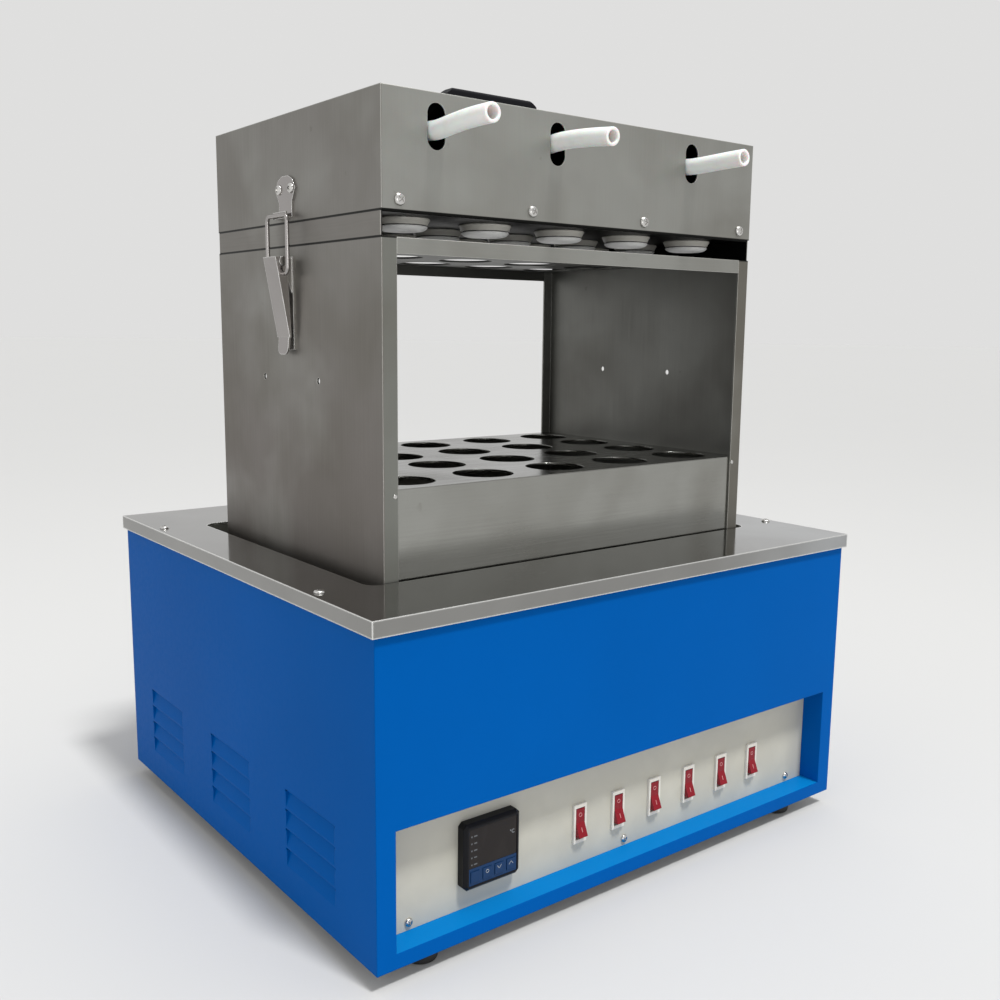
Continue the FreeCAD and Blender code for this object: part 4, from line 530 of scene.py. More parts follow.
def polished_steel(name, base, edge, gloss=(0.06, 0.14), wear=0.35, bright=0.0, highlight_reach=EDGE_HIGHLIGHT,
                   pale=None):
    """Polished steel with wiping haze, hairline scratches and, where it is bright, painted edge
    highlights.

    The pale colour, if one is given, is a painted reflection that takes over towards the right.
    """
    finish = Finish(name, base, 0.12, metallic=1.0)
    haze = finish.noise(14, 4, shift=(2, 3, 5), warp=0.8)
    hairs = finish.noise(1, 2, stretch=(25, 1400, 600), shift=(1, 1, 4))
    cross = finish.noise(1, 2, stretch=(1300, 40, 500), shift=(6, 3, 1))
    scratched = finish.maths("MAXIMUM", finish.span(hairs, 0.66, 0.74),
                             finish.span(cross, 0.70, 0.78))
    shade = finish.base
    # Painted reflection: the steel runs to the pale colour towards the right.
    if pale:
        shade = finish.blend(finish.span(finish.along(X), 0.06, 0.21), shade, pale)
    shade = finish.blend(finish.both(finish.span(haze, 0.4, 0.75), wear), shade, darker(base, 0.72))
    # Painted highlight: where the steel is bright, its edges run to near white.
    if bright:
        highlit_edge = finish.both(finish.edge_highlight(highlight_reach), bright)
        shade = finish.blend(highlit_edge, shade, (0.92, 0.92, 0.90))
    finish.fill(finish.shader, Base_Color=shade)
    finish.roughened(haze, 0.3, 0.7, *gloss)
    return finish.relief((scratched, 0.00001, 0.12), edge=edge)


def moulded(name, base, roughness, grain=2600, depth=0.00004, edge=0.0005, shine=0.5):
    """Moulded plastic or rubber with a fine grain and rubbed patches."""
    finish = Finish(name, base, roughness, Specular_IOR_Level=shine)
    fine = finish.noise(grain, 2)
    rubbed = finish.noise(32, 3, shift=(4, 4, 1))
    lighter = tuple(min(1.0, value * 1.25 + 0.004) for value in tuple(base)[:3])
    finish.tinted(rubbed, 0.45, 0.8, 0.5, lighter)
    finish.roughened(rubbed, 0.3, 0.7, roughness - 0.06, roughness + 0.08)
    return finish.relief((fine, depth, 0.35), edge=edge)


def galvanised(name, edge):
    """Zinc-coated sheet with its spangle."""
    finish = Finish(name, (0.50, 0.51, 0.52), 0.42, metallic=1.0)
    cells = finish.add("TexVoronoi", Vector=finish.place(), Scale=95.0).outputs["Color"]
    finish.tinted(cells, 0.1, 0.9, 1.0, (0.66, 0.67, 0.69))
    finish.roughened(cells, 0.1, 0.9, 0.30, 0.52)
    return finish.relief((finish.noise(420, 3), 0.00003, 0.2), edge=edge)


def cast_metal(name, base, edge, roughness=(0.34, 0.52)):
    """Milled casting with tool marks and heat tint."""
    finish = Finish(name, base, 0.4, metallic=1.0)
    marks = finish.noise(1, 2, stretch=(18, 1500, 1500))
    heat = finish.noise(16, 4, shift=(3, 3, 3), warp=0.5)
    scorched = (base[0] * 0.62, base[1] * 0.55, base[2] * 0.46)
    finish.tinted(heat, 0.4, 0.7, 0.7, scorched)
    finish.roughened(marks, 0.3, 0.7, *roughness)
    return finish.relief((marks, 0.00004, 0.3), edge=edge)


def fibre_board(name):
    """Pressed ceramic fibre."""
    finish = Finish(name, (0.80, 0.78, 0.73), 0.95, Specular_IOR_Level=0.1)
    tufts = finish.noise(260, 6, rough=0.7)
    mats = finish.noise(28, 3, shift=(2, 5, 1))
    finish.tinted(mats, 0.4, 0.7, 0.6, (0.66, 0.62, 0.54))
    return finish.relief((tufts, 0.0012, 0.6))


def silicone(name, base):
    """Milky silicone hose with faint extrusion lines and dust."""
    finish = Finish(name, base, 0.40, Subsurface_Weight=0.35, Subsurface_Scale=0.004, IOR=1.42)
    lines = finish.noise(1, 2, stretch=(900, 14, 900))
    dust = finish.noise(130, 4, shift=(1, 7, 2))
    finish.tinted(dust, 0.5, 0.75, 0.35, (0.70, 0.69, 0.64))
    finish.roughened(dust, 0.3, 0.7, 0.34, 0.50)
    return finish.relief((lines, 0.00003, 0.25))


def dark_glass(name, base, edge):
    """Smoked window with finger marks that show in its gloss."""
    finish = Finish(name, base, 0.14, Specular_IOR_Level=0.22)
    smears = finish.noise(70, 4, stretch=(1, 1, 0.5), warp=1.2)
    finish.tinted(smears, 0.5, 0.75, 0.4, darker(base, 1.8))
    finish.roughened(smears, 0.35, 0.7, 0.10, 0.26)
    return finish.relief((finish.noise(500, 2), 0.00001, 0.08), edge=edge)


def print_ink(name, base):
    """Screen-printed ink, a little uneven."""
    finish = Finish(name, base, 0.5)
    fade = finish.noise(900, 3)
    finish.tinted(fade, 0.5, 0.8, 0.5, darker(base, 0.75))
    return finish.relief((fade, 0.00001, 0.2))


# ---- studio


CAMERA_PLACE = (-0.5243, -0.7080, 0.3957)
CAMERA_TURN = (80.79673, -0.56769, -37.78203)
KEY_FROM = Vector((0.06, -0.43, 0.90))
LAMPS = (   # name, place, width and power
    ("studio_top", (0.1, -0.2, 1.9), 1.5, 9.0),
    ("studio_left", (-1.9, 0.1, 0.9), 1.6, 2.5),
    ("studio_front", (-0.9, -1.9, 0.22), 0.9, 6.0),
)
LAMPS_AIM = Vector((0, 0, 0.25))


def light(kind, name, place, power, direction):
    """A lamp that shines from the direction."""
    deselect()
    bpy.ops.object.light_add(type=kind, location=place)
    lamp = bpy.context.object
    lamp.name = name
    lamp.rotation_euler = direction.to_track_quat("Z", "Y").to_euler()
    lamp.data.energy = power
    return lamp.data


class DIGESTER_OT_studio(bpy.types.Operator):
    """Set up camera, pale floor and soft light"""
    bl_idname = "digester.studio"
    bl_label = "Studio"

    def execute(self, context):
        settings = context.scene.digester_studio
        deselect()
        turn = [math.radians(angle) for angle in CAMERA_TURN]
        bpy.ops.object.camera_add(location=CAMERA_PLACE, rotation=turn)
        camera = context.object
        camera.name = "studio_camera"
        camera.data.lens = settings.lens
        camera.data.sensor_width = 36
        context.scene.camera = camera

        deselect()
        bpy.ops.mesh.primitive_circle_add(vertices=64, radius=30, fill_type="NGON")
        floor = settle(context.object, "studio_floor")
        paper = Finish("floor_paper", settings.floor, 0.7, Specular_IOR_Level=0.2)
        tone = paper.noise(2.5, 3)
        paper.tinted(tone, 0.3, 0.7, 0.3, darker(settings.floor, 0.985))
        floor.data.materials.append(paper.relief((paper.noise(350, 3), 0.0001, 0.1)))

        key = light("SUN", "studio_key", (1.6, -2.4, 2.6), settings.key, KEY_FROM)
        key.angle = math.radians(8)
        for name, place, size, power in LAMPS:
            light("AREA", name, place, power, Vector(place) - LAMPS_AIM).size = size

        world = bpy.data.worlds.new("studio_world")
        world.use_nodes = True
        context.scene.world = world
        sky = Nodes(world.node_tree)
        rays = sky.add("LightPath").outputs
        seen = rays["Is Camera Ray"]
        for name in ("Is Glossy Ray", "Is Transmission Ray"):
            seen = sky.maths("MAXIMUM", seen, rays[name])
        level = sky.span(seen, 0, 1, settings.sky, settings.backdrop)
        sky.fill(sky.tree.nodes["Background"], Color=(1, 0.997, 0.99, 1), Strength=level)
        context.scene.view_settings.view_transform = "Standard"
        return {"FINISHED"}


# ---- mains lead


# In metres and degrees. The lead leaves the rear wall at its gland, sinks to the table and lies
# there in a coil of two layers, with the plug at the end of its last turn.
GLAND_SIDE, GLAND_LEVEL = 0.150, 0.046
REAR_WALL = 0.2035
COIL_MIDDLE = (-0.006, 0.313)
STEP_IN, STEP_OUT, STEP_UP = (390, 450), (990, 1050), (690, 750)
FIRST_ANGLE, LAST_ANGLE = 90, 1350
CORNER_CUT = 0.981      # with 16 points a turn, the line runs at this share of their radius
PLUG_LANE, PLUG_LEVEL = 0.2585, 0.0135
PLUG_ENDS = (0.0510, 0.0890)
RIBS = 5


def ribs(radius, growth, start, pitch, profile):
    """Rings of the ribs on a bend relief, whose profile is (radius, height) within one rib."""
    return [(radius + rib * growth + out, start + rib * pitch + up)
            for rib in range(RIBS) for out, up in profile]


def eased(value, start, stop):
    """0 before the start, 1 after the stop and a soft rise between."""
    share = min(max((value - start) / (stop - start), 0), 1)
    return share * share * (3 - 2 * share)


class DIGESTER_OT_mains_lead(bpy.types.Operator):
    """Lay the mains lead from its gland to a put-away coil, with gland and plug"""
    bl_idname = "digester.mains_lead"
    bl_label = "Mains lead"

    def execute(self, context):
        sizes, colours = chosen(context)
        rubber = moulded("lead_rubber", colours.plastic, 0.5, grain=1500, edge=0.0, shine=0.35)
        plastic = moulded("fitting_plastic", colours.plastic, 0.38, edge=sizes.edge, shine=0.35)
        pin_metal = polished_steel("pin_metal", (0.66, 0.60, 0.46), sizes.edge)
        gland = self.gland(plastic)
        plug = self.plug(plastic, pin_metal)
        lead = self.lead(sizes, rubber)
        return {"FINISHED"}

    def lead(self, sizes, rubber):
        low = sizes.lead_diameter / 2
        high = 3 * low
        points = [(GLAND_SIDE, 0.2295, GLAND_LEVEL), (GLAND_SIDE, 0.2675, GLAND_LEVEL),
                  (0.130, 0.3225, low), (0.103, 0.3515, low), (0.067, 0.3675, low),
                  (0.029, 0.3675, low)]
        step = 360 / sizes.turn_points
        angle = FIRST_ANGLE + step / 2
        while angle < LAST_ANGLE:
            points.append(self.turn_point(sizes, angle, low, high))
            angle += step
        points.append((0.029, PLUG_LANE, high))
        deselect()
        lead = hose_along("mains_lead_cord", points, low, order=3, fineness=8, roundness=6)
        lead.data.use_fill_caps = True
        lead.data.materials.append(rubber)
        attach(lead, "base")
        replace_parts(lead, "mains_lead", "lead_coil")
        return lead

    def turn_point(self, sizes, angle, low, high):
        """A point of the coil: it steps in, up to the next layer, and out again."""
        inward = eased(angle, *STEP_IN) - eased(angle, *STEP_OUT)
        radius = sizes.coil_outer + (sizes.coil_inner - sizes.coil_outer) * inward
        height = low + (high - low) * eased(angle, *STEP_UP)
        reach = radius / CORNER_CUT
        turn = math.radians(angle)
        side, back = COIL_MIDDLE
        return (side + reach * math.cos(turn), back + reach * math.sin(turn), height)

    def gland(self, plastic):
        """Hexagonal nut, lock nut and a ribbed, tapered bend relief."""
        wall = REAR_WALL
        nut = turned("gland_nut", [(0.0100, wall), (0.0110, wall + 0.0007), (0.0110, wall + 0.0052),
                                   (0.0100, wall + 0.0060)], sides=6)
        relief = turned("gland_relief", [
            (0.0094, wall + 0.0055),
            *ribs(0.0092, -0.00062, wall + 0.0065, 0.0038,
                  ((0, 0), (-0.0002, 0.0022), (-0.0013, 0.0026), (-0.0014, 0.0034))),
            (0.0062, wall + 0.0255), (0.0058, wall + 0.0260),
        ])
        inner = turned("gland_inner", [(0.0077, wall - 0.006), (0.0077, wall + 0.001)])
        lock = turned("gland_lock", [(0.0105, wall - 0.0052), (0.0110, wall - 0.0048),
                                     (0.0110, wall - 0.0016), (0.0105, wall - 0.0012)], sides=6)
        piece = merge("gland_and_relief", [nut, relief, inner, lock])
        placed(piece, (GLAND_SIDE, 0, GLAND_LEVEL), about("X", -QUARTER_TURN))
        return stand_for(piece, "cable_gland", "base", plastic)

    def plug(self, plastic, pin_metal):
        """Moulded plug with finger grooves, a ribbed relief and three flat pins."""
        tail, nose = PLUG_ENDS
        shell = bar("plug_body", (nose - tail, 0.036, 0.027),
                    ((tail + nose) / 2, PLUG_LANE, PLUG_LEVEL))
        open_mesh()
        bpy.ops.mesh.subdivide(number_cuts=5)
        mesh = bmesh.from_edit_mesh(shell.data)
        for vertex in mesh.verts:
            share = min(max((vertex.co.x - tail) / (nose - tail), 0), 1)
            waist = 0.70 + 0.30 * share ** 0.6 - 0.06 * math.exp(-((share - 0.45) / 0.2) ** 2)
            vertex.co.y = PLUG_LANE + (vertex.co.y - PLUG_LANE) * waist
        bmesh.update_edit_mesh(shell.data)
        close_mesh()
        rounded(shell, 0.0030, 4, 50)
        smooth(shell, 40)
        relief = turned("plug_relief", [
            (0.0054, 0.0), (0.0056, 0.0006),
            *ribs(0.0056, 0.00035, 0.0012, 0.0042,
                  ((0.0008, 0), (0.0008, 0.0024), (-0.0004, 0.0028), (-0.0004, 0.0038))),
            (0.0070, 0.0235),
        ])
        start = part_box("mains_plug")[0].x
        placed(relief, (start, PLUG_LANE, PLUG_LEVEL), about("Y"))
        pins = [bar("plug_pin", (0.020, 0.0016, 0.0064),
                    (0.0970, PLUG_LANE + aside, PLUG_LEVEL + rise), rim=0.0005)
                for aside, rise in ((-0.008, -0.004), (0.008, -0.004), (0, 0.0048))]
        body = stand_for(merge("plug_moulding", [shell, relief]), "mains_plug", "base",
                         plastic)
        blades = add_to(merge("plug_pins", pins), "base", pin_metal)
        return [body, blades]


# ---- housing, deck and fasteners


PANEL_TUCK = 0.005      # the panel reaches this far behind the fold of the cut-out
OBJECT_MIDDLE = Vector((0, -0.0136, 0))
RECESS_TURN = math.radians(35)


class DIGESTER_OT_housing(bpy.types.Operator):
    """Finish the housing, base, deck and feet"""
    bl_idname = "digester.housing"
    bl_label = "Housing and deck"

    def execute(self, context):
        sizes, colours = chosen(context)
        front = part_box("housing_shell")[0].y
        panel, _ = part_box("control_panel")

        # Painted light: on the ledge's top face under the panel, the housing blue runs to the
        # lighter ledge colour.
        def lit_ledge(finish):
            top = panel.z + PANEL_TUCK
            level = finish.between(Z, top - 2 * LEVEL_BLUR, top + 2 * LEVEL_BLUR)
            depth = finish.between(Y, front + FACE, panel.y + 0.001)
            width = finish.between(X, panel.x, -panel.x)
            return finish.both(level, finish.both(depth, width))

        blue = powder_coat("housing_powder", colours.housing, sizes.edge,
                           tones=((lit_ledge, colours.lit_ledge),))
        coat(blue, "housing_shell", "rear_cover")
        coat(galvanised("zinc_sheet", sizes.edge), "base_plate", "liner_stands", "heater_plate")
        # The deck gets a painted highlight along its edges and a painted reflection that pales
        # towards the right.
        polish = polished_steel("deck_polish", colours.deck, sizes.edge, bright=1.0,
                                highlight_reach=2 * EDGE_HIGHLIGHT, pale=(0.43, 0.44, 0.45))
        coat(polish, "deck_plate")
        self.feet(moulded("foot_rubber", (0.016, 0.016, 0.016), 0.72, grain=900, depth=0.0001))
        return {"FINISHED"}

    def feet(self, rubber):
        """Round feet that taper to the table, under a rounded brim."""
        boxes = islands("feet")
        low, high = boxes[0]
        rise, wide = high.z, (high.x - low.x) / 2
        foot = turned("foot", [
            (wide - 0.0030, 0.0), (wide - 0.0022, 0.0004), (wide - 0.0018, 0.0014),
            (wide - 0.0004, rise - 0.0012), (wide, rise - 0.0006), (wide, rise),
        ])
        copies = [duplicate(foot, middle_of(low, high)) for low, high in boxes]
        discard(foot)
        stand_for(merge("rubber_feet", copies), "feet", "base", rubber)


def pan_head(name, sizes, radius, rise, crossed=True):
    """Domed head on the Z axis, with a cross recess where it is a screw."""
    low = min(0.0002, rise * 0.2)
    rim = min(sizes.screw_rim * 1.6, radius * 0.55)
    rings = [(radius - low, 0.0), (radius, low)]
    steps = 6
    for step in range(1, steps + 1):
        angle = QUARTER_TURN * step / steps
        rings.append((radius - rim * (1 - math.cos(angle)),
                      low + (rise * 0.82 - low) * math.sin(angle)))
    rings.append((radius * 0.25, rise))
    head = turned(name, rings)
    if crossed:
        for turn in (0, QUARTER_TURN):
            arm = bar("recess", (radius * 1.1, radius * 0.24, 2 * sizes.recess_depth), (0, 0, rise),
                      turn=about("Z", turn + RECESS_TURN))
            modified(head, "BOOLEAN", object=arm, solver="EXACT")
            discard(arm)
        smooth(head)
    return head


def heads_on(node, name, sizes, crossed=True):
    """One head in place of each loose solid of the node, facing outwards."""
    heads, patterns = [], {}
    for place, (low, high) in enumerate(islands(node)):
        extent = high - low
        axis = min((X, Y, Z), key=lambda index: extent[index])
        sign = 1 if (low[axis] + high[axis]) / 2 > OBJECT_MIDDLE[axis] else -1
        away = Vector([sign if index == axis else 0 for index in (X, Y, Z)])
        rise = extent[axis]
        radius = max(extent) / 2
        key = (round(radius, 5), round(rise, 5))
        if key not in patterns:
            patterns[key] = pan_head(f"{name}_pattern", sizes, radius, rise, crossed)
        seat = (low + high) / 2 - away * rise / 2
        heads.append(duplicate(patterns[key], seat, facing(away) @ about("Z", 0.9 * place)))
    discard(*patterns.values())
    return merge(name, heads)


class DIGESTER_OT_fasteners(bpy.types.Operator):
    """Put domed cross-head screws and rivets in their places"""
    bl_idname = "digester.fasteners"
    bl_label = "Screws and rivets"

    def execute(self, context):
        sizes = context.scene.digester_sizes
        bright = polished_steel("screw_bright", (0.63, 0.62, 0.60), 0.0,
                                gloss=(0.16, 0.30), wear=0.5)
        for node, name, body, crossed in (
            ("deck_screws", "deck_screw_heads", "base", True),
            ("panel_screws", "panel_screw_heads", "base", True),
            ("hood_screws", "hood_screw_heads", "hood", True),
            ("rack_rivets", "rack_rivet_heads", "rack", False),
        ):
            stand_for(heads_on(node, name, sizes, crossed), node, body, bright)
        return {"FINISHED"}


# ---- control panel


PRINT_RISE = 0.00003            # printed marks stand this proud
LAMP_ROWS, ROW_PITCH = 5, 0.0048
KEY_RING, KEY_DOWN, KEY_UP = 2, 3, 4
ROCKER_WAIST = 0.00393          # from the rocker's lower edge back to its pivot line
ROCKER_LOWER_FACE = (0, -0.927, 0.375)


class DIGESTER_OT_controls(bpy.types.Operator):
    """Finish the panel, controller and switches, with their marks"""
    bl_idname = "digester.controls"
    bl_label = "Controls"

    def execute(self, context):
        sizes, colours = chosen(context)
        panel = moulded("panel_coat", colours.panel, 0.48, grain=1500, depth=0.00005,
                        edge=sizes.edge)
        coat(panel, "control_panel")
        case = moulded("controller_plastic", darker(colours.plastic, 0.6), 0.40, edge=sizes.edge,
                       shine=0.18)
        coat(case, "controller_case")
        coat(dark_glass("display_window", colours.display, sizes.edge), "controller_window")
        blue = moulded("key_blue_film", colours.keys, 0.34, grain=1800, edge=0.0003, shine=0.2)
        coat(blue, "controller_keypad", *[f"controller_key_{place}" for place in range(1, 5)])
        coat(moulded("frame_plastic", colours.frames, 0.34, edge=0.0004), "switch_frames")
        red = moulded("rocker_red_gloss", colours.rocker, 0.26, grain=700, depth=0.00001,
                      edge=0.0004, shine=0.3)
        coat(red, *[f"rocker_{place}" for place in range(1, 7)])
        ink = print_ink("mark_ink", colours.marks)
        self.display_marks(ink, print_ink("lamp_ink", darker(colours.marks, 0.4)))
        self.key_marks(sizes, ink)
        self.rocker_marks(sizes, print_ink("rocker_mark_ink", colours.rocker_mark))
        return {"FINISHED"}

    def words(self, text, size, place, name):
        deselect()
        bpy.ops.object.text_add(location=place, rotation=(QUARTER_TURN, 0, 0))
        letters = bpy.context.object
        letters.data.body = text
        letters.data.size = size
        letters.data.extrude = PRINT_RISE
        letters.data.resolution_u = 3
        bpy.ops.object.convert(target="MESH")
        return settle(bpy.context.object, name)

    def display_marks(self, ink, lamp_ink):
        """Unit mark, and a lamp with a short bar in each row at the left."""
        low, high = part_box("controller_window")
        front, thick = low.y - PRINT_RISE, 2 * PRINT_RISE
        unit = self.words("°C", 0.0036, (high.x - 0.0058, front, high.z - 0.0118), "unit_mark")
        add_to(unit, "base", ink)
        pieces = []
        for row in range(LAMP_ROWS):
            level = high.z - 0.0052 - row * ROW_PITCH
            wide = 0.0026 - 0.0004 * (row % 2)
            pieces += [bar("lamp", (0.0010, thick, 0.0010), (low.x + 0.0022, front, level)),
                       bar("lamp_label", (wide, thick, 0.0008), (low.x + 0.0052, front, level))]
        add_to(merge("display_marks", pieces), "base", lamp_ink)

    def key_marks(self, sizes, ink):
        """Ring, down and up signs on the last three keys."""
        line = sizes.mark_line
        for place in (KEY_RING, KEY_DOWN, KEY_UP):
            node = f"controller_key_{place}"
            low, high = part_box(node)
            middle = Vector(((low.x + high.x) / 2, low.y - 0.00002, (low.z + high.z) / 2 + 0.0010))
            if place == KEY_RING:
                pieces = [placed(ring("key_ring", 0.0011, line), middle, about("X"))]
            else:
                lean = math.radians(-38 if place == KEY_UP else 38)
                pieces = [bar("key_stroke", (line, 0.00008, 0.0028),
                              middle + Vector((side * 0.0008, 0, 0)),
                              turn=about("Y", side * lean))
                          for side in (-1, 1)]
            add_to(merge(f"key_mark_{place}", pieces), node, ink)

    def rocker_marks(self, sizes, ink):
        """Ring on the pressed-in upper half and bar on the lower half."""
        circle = ring("off_mark", sizes.mark_ring, sizes.mark_line)
        stroke = bar("on_mark", (sizes.mark_line * 1.2, sizes.mark_bar, sizes.mark_line / 2))
        for place in range(1, 7):
            node = f"rocker_{place}"
            low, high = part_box(node)
            middle, waist = (low.x + high.x) / 2, low.y + ROCKER_WAIST
            off = duplicate(circle, (middle, waist, high.z - 0.0048), about("X"))
            on = duplicate(stroke, (middle, (low.y + waist) / 2 - 0.00004, low.z + 0.0054),
                           facing(ROCKER_LOWER_FACE))
            add_to(merge(f"rocker_mark_{place}", [off, on]), node, ink)
        discard(circle, stroke)


# ---- block, rack and hood


# How sheet grain stretches along X, Y and Z: rolled upright, from side to side, front to back
UPRIGHT, CROSSWISE, DEEP = (700, 700, 14), (14, 700, 700), (700, 14, 700)
HOSE_WALL = 0.0020
HOSE_RISES = (      # millimetres over the straight tube, from inside the slot to the open end
    (0, -1.6, -2.4, -1.2, 0.3, 0.6, 0.4),
    (0, 0.8, 1.5, 1.6, 0.9, -0.3, -1.6),
    (0, -1.5, -2.3, -2.1, -1.6, -1.2, -1.0),
)
STOPPER_SIDES = 40
LATCH_EDGE = 0.0004


class DIGESTER_OT_well(bpy.types.Operator):
    """Finish the heating block, its well and the parts under the deck"""
    bl_idname = "digester.well"
    bl_label = "Heating block and inside"

    def execute(self, context):
        sizes, colours = chosen(context)
        inner = sheet_steel("liner_steel", colours, (500, 500, 18), sizes.edge, stain=1.0)
        coat(inner, "well_liner", "well_rim", "temperature_probe")
        casting = cast_metal("block_casting", (0.52, 0.50, 0.47), sizes.edge)
        coat(casting, "heating_block", "heat_sink")
        coat(fibre_board("wool_board"), "insulation")
        plastic = moulded("relay_plastic", colours.plastic, 0.45, edge=sizes.edge)
        coat(plastic, "relays", "terminal_block")
        return {"FINISHED"}


class DIGESTER_OT_rack(bpy.types.Operator):
    """Finish the tube rack"""
    bl_idname = "digester.rack"
    bl_label = "Tube rack"

    def execute(self, context):
        sizes, colours = chosen(context)
        low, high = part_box("rack_side_left")
        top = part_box("rack_lower_plate")[1].z - FACE

        # Painted shade: the inside masks darken the sheet within the rack.
        def inside(finish):
            return finish.between(Y, low.y + FACE, high.y - FACE)

        def left_inside(finish):
            return finish.both(finish.above(X, low.x + FACE), inside(finish))

        def right_inside(finish):
            return finish.both(finish.below(X, -low.x - FACE), inside(finish))

        # Painted shade: the left outer face darker and browner, more so towards the bottom.
        def left_outside_shade(finish):
            face = finish.below(X, low.x + SIDE_FACE)
            return finish.both(face, finish.span(finish.along(Z), high.z, low.z, 0.55, 1.25))

        # Painted shade on the front faces of the posts; on the right post it takes the stain
        # colour.
        def post_shade(finish):
            return finish.both(finish.below(Y, low.y + FACE), 0.8)

        left_tones = ((post_shade, colours.shaded_post_steel), (left_outside_shade, colours.shaded_side_steel))
        right_tones = ((post_shade, colours.stain),)
        for node, shade_and_seams, tones in (("rack_side_left", left_inside, left_tones),
                                  ("rack_side_right", right_inside, right_tones)):
            steel = sheet_steel(f"{node}_steel", colours, UPRIGHT, sizes.edge, stain=0.55,
                                streak=0.12, shade_and_seams=shade_and_seams, depth=0.55, seams=(high.z,), tones=tones)
            coat(steel, node)
        # Painted shade on the lower plate's top face.
        plate = sheet_steel("lower_plate_steel", colours, CROSSWISE, sizes.edge, stain=0.5,
                            gloss=(0.14, 0.30), shade_and_seams=lambda finish: finish.above(Z, top),
                            depth=0.40)
        coat(plate, "rack_lower_plate")
        # Painted shade on the upper plate between its front and rear edges.
        rail = sheet_steel("upper_plate_steel", colours, CROSSWISE, sizes.edge, stain=0.4,
                           shade_and_seams=inside, depth=0.80)
        coat(rail, "rack_upper_plate")
        return {"FINISHED"}


class DIGESTER_OT_hood(bpy.types.Operator):
    """Finish the hood with its stoppers, suction tubes and grip"""
    bl_idname = "digester.hood"
    bl_label = "Exhaust hood"

    def execute(self, context):
        sizes, colours = chosen(context)
        low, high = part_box("cap_tray")
        wall, _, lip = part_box("hood_cover")[0]
        inner = high.x - FACE

        # Painted shade: the hood's left face darker and browner.
        def cover_side_shade(finish):
            return finish.both(finish.below(X, wall + SIDE_FACE), 0.6)

        # Painted shade: the tray's left face darker and browner.
        def tray_side_shade(finish):
            return finish.both(finish.below(X, low.x + SIDE_FACE), 0.7)

        cover = sheet_steel("hood_steel", colours, UPRIGHT, sizes.edge, stain=0.50, streak=0.08,
                            seams=(lip,), tones=((cover_side_shade, colours.shaded_side_steel),))
        # Painted shade: the tray between its side walls runs to near black, under the hood.
        tray = sheet_steel("tray_steel", colours, DEEP, sizes.edge, stain=0.5, depth=1.0, shade_level=0.12,
                           seams=(low.z, lip), tones=((tray_side_shade, colours.shaded_side_steel),),
                           shade_and_seams=lambda finish: finish.between(X, -inner, inner))
        coat(cover, "hood_cover")
        coat(tray, "cap_tray", "fume_plenum")
        grip = moulded("grip_plastic", colours.plastic, 0.5, grain=1400, depth=0.00008,
                       edge=sizes.edge, shine=0.08)
        coat(grip, "hood_grip")
        self.hoses(silicone("white_silicone", colours.silicone))
        self.stoppers(sizes)
        return {"FINISHED"}

    def hoses(self, rubber):
        """Soft suction hoses that rise or sag a little on their way out of the slots."""
        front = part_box("hood_cover")[0].y
        for place, rises in enumerate(HOSE_RISES, start=1):
            name = f"suction_hose_{place}"
            low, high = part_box(f"suction_tube_{place}")
            radius = (high.x - low.x) / 2
            level, middle = high.z - radius, (low.x + high.x) / 2
            reach = front - low.y
            steps = (high.y, front + 0.008, front, front - 0.21 * reach, front - 0.5 * reach,
                     front - 0.78 * reach, low.y)
            points = [(middle, step, level + rise / 1000) for step, rise in zip(steps, rises)]
            pick(hose_along(name, points, radius, order=4, fineness=10, roundness=8))
            bpy.ops.object.convert(target="MESH")
            hose = settle(bpy.context.object, name)
            open_mesh()
            bpy.ops.mesh.remove_doubles(threshold=0.00001)
            bpy.ops.mesh.normals_make_consistent(inside=False)
            close_mesh()
            modified(hose, "SOLIDIFY", thickness=HOSE_WALL, offset=-1)
            rounded(hose, 0.0004, 2, 60)
            smooth(hose, 50)
            stand_for(hose, f"suction_tube_{place}", "hood", rubber)

    def stoppers(self, sizes):
        """Tapering grey dishes, each with a dark gap under it and a white sealing disc."""
        grey = moulded("stopper_grey", (0.56, 0.545, 0.50), 0.34, edge=0.0)
        white = moulded("disc_white", (0.98, 0.98, 0.97), 0.40, edge=0.0)
        caps = islands("tube_caps")
        low, high = caps[0]
        radius, top, bottom = (high.x - low.x) / 2, high.z, low.z
        rim = sizes.stopper_rim
        foot = radius - 0.0014
        dish = turned("dish", [
            (foot - 0.0012, bottom + 0.0007), (foot - 0.0004, bottom + 0.0007),
            (foot, bottom + 0.0011), (radius - rim * 0.35, top - 0.0016), (radius, top - 0.0012),
            (radius, top - rim * 0.4), (radius - rim * 0.3, top - 0.0001), (radius - rim, top),
            (radius - 0.004, top),
        ], STOPPER_SIDES)
        neck = turned("neck", [
            (foot - 0.0016, bottom - 0.0002), (foot - 0.0016, bottom + 0.0009),
        ], STOPPER_SIDES)
        low, high = islands("cap_seals")[0]
        wide, seal_top, seal_low = (high.x - low.x) / 2, high.z, low.z
        disc = turned("disc", [
            (wide - 0.0090, seal_low + 0.0005), (wide - 0.0080, seal_low),
            (wide - 0.0045, seal_low + 0.0001), (wide - 0.0025, seal_low + 0.0006),
            (wide - 0.0011, seal_low + 0.0014), (wide, seal_top - 0.0006),
            (wide - 0.0004, seal_top),
        ], STOPPER_SIDES)
        gasket = moulded("neck_rubber", (0.02, 0.02, 0.02), 0.6, edge=0.0)
        places = [middle_of(low, high) for low, high in caps]
        dishes, necks, discs = (
            merge(name, [duplicate(pattern, place) for place in places])
            for name, pattern in (("stopper_dishes", dish), ("stopper_necks", neck),
                                  ("stopper_discs", disc)))
        discard(dish, neck, disc)
        stand_for(dishes, "tube_caps", "hood", grey)
        add_to(necks, "hood", gasket)
        stand_for(discs, "cap_seals", "hood", white)


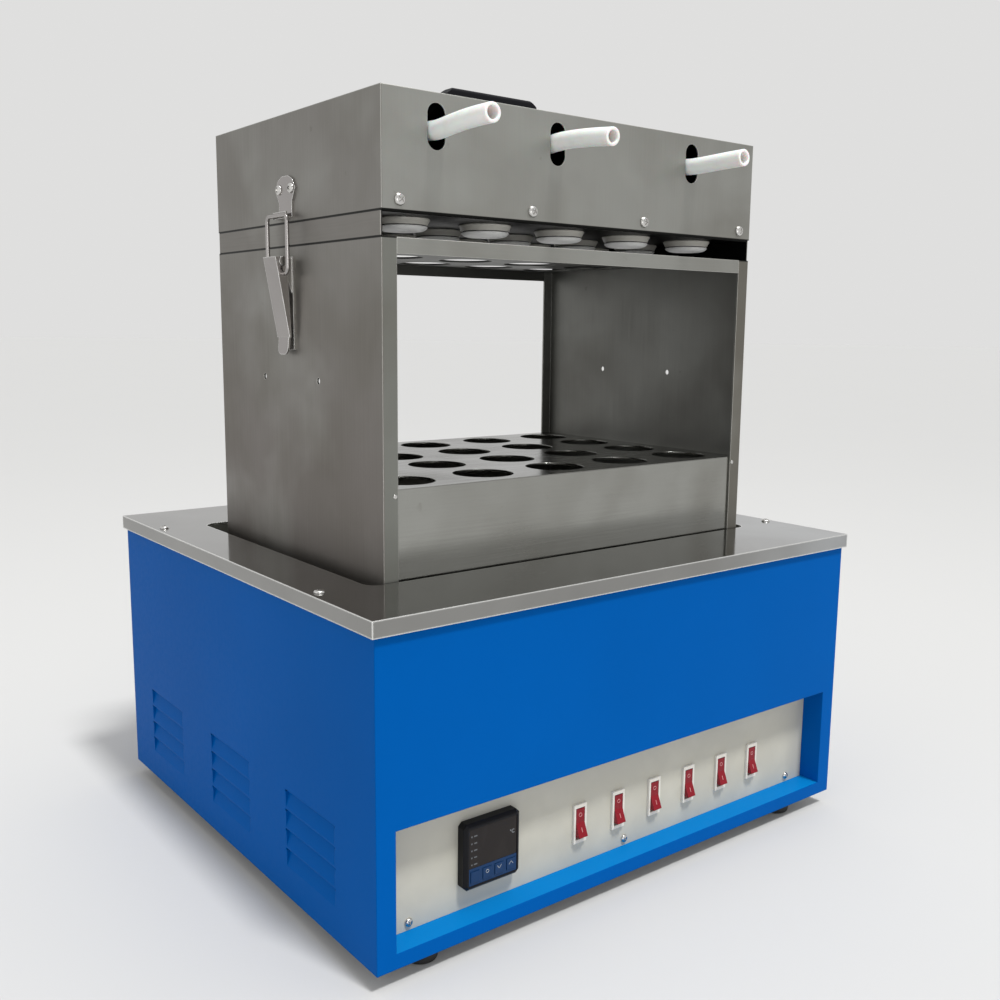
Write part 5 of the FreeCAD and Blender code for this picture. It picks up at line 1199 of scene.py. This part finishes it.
class DIGESTER_OT_latches(bpy.types.Operator):
    """Finish the two draw latches"""
    bl_idname = "digester.latches"
    bl_label = "Draw latches"

    def execute(self, context):
        # Both latch finishes carry painted highlights along their edges.
        bright = polished_steel("latch_polish", (0.38, 0.36, 0.35), LATCH_EDGE,
                                gloss=(0.10, 0.22), wear=0.5, bright=0.8)
        dull = polished_steel("latch_base_steel", (0.38, 0.37, 0.35), LATCH_EDGE,
                              gloss=(0.22, 0.36), wear=0.6, bright=0.5)
        for side in ("left", "right"):
            coat(bright, f"latch_lever_{side}", f"latch_bail_{side}", f"latch_keeper_{side}")
            coat(dull, f"latch_base_{side}")
        return {"FINISHED"}


class DIGESTER_PT_dressing(bpy.types.Panel):
    """The steps that dress the digester, in order"""
    bl_idname = "DIGESTER_PT_dressing"
    bl_label = "Block digester"
    bl_space_type = "VIEW_3D"
    bl_region_type = "UI"
    bl_category = "Digester"

    def draw(self, context):
        for step in STEPS:
            self.layout.operator(step.bl_idname)
        for group in GROUPS:
            settings = getattr(context.scene, group)
            for name in settings.bl_rna.properties.keys():
                if name not in ("rna_type", "name"):
                    self.layout.prop(settings, name)


STEPS = (
    DIGESTER_OT_studio, DIGESTER_OT_mains_lead, DIGESTER_OT_housing, DIGESTER_OT_fasteners,
    DIGESTER_OT_controls, DIGESTER_OT_well, DIGESTER_OT_rack, DIGESTER_OT_hood,
    DIGESTER_OT_latches,
)
GROUPS = {
    "digester_colours": DigesterColours,
    "digester_sizes": DigesterSizes,
    "digester_studio": DigesterStudio,
}


def register():
    for name, group in GROUPS.items():
        bpy.utils.register_class(group)
        setattr(bpy.types.Scene, name, PointerProperty(type=group))
    for step in STEPS:
        bpy.utils.register_class(step)
    bpy.utils.register_class(DIGESTER_PT_dressing)


def unregister():
    bpy.utils.unregister_class(DIGESTER_PT_dressing)
    for step in reversed(STEPS):
        bpy.utils.unregister_class(step)
    for name, group in GROUPS.items():
        delattr(bpy.types.Scene, name)
        bpy.utils.unregister_class(group)


def main():
    register()
    bpy.ops.digester.studio()
    bpy.ops.digester.mains_lead()
    bpy.ops.digester.housing()
    bpy.ops.digester.fasteners()
    bpy.ops.digester.controls()
    bpy.ops.digester.well()
    bpy.ops.digester.rack()
    bpy.ops.digester.hood()
    bpy.ops.digester.latches()
    deselect()


if __name__ == "__main__":
    main()
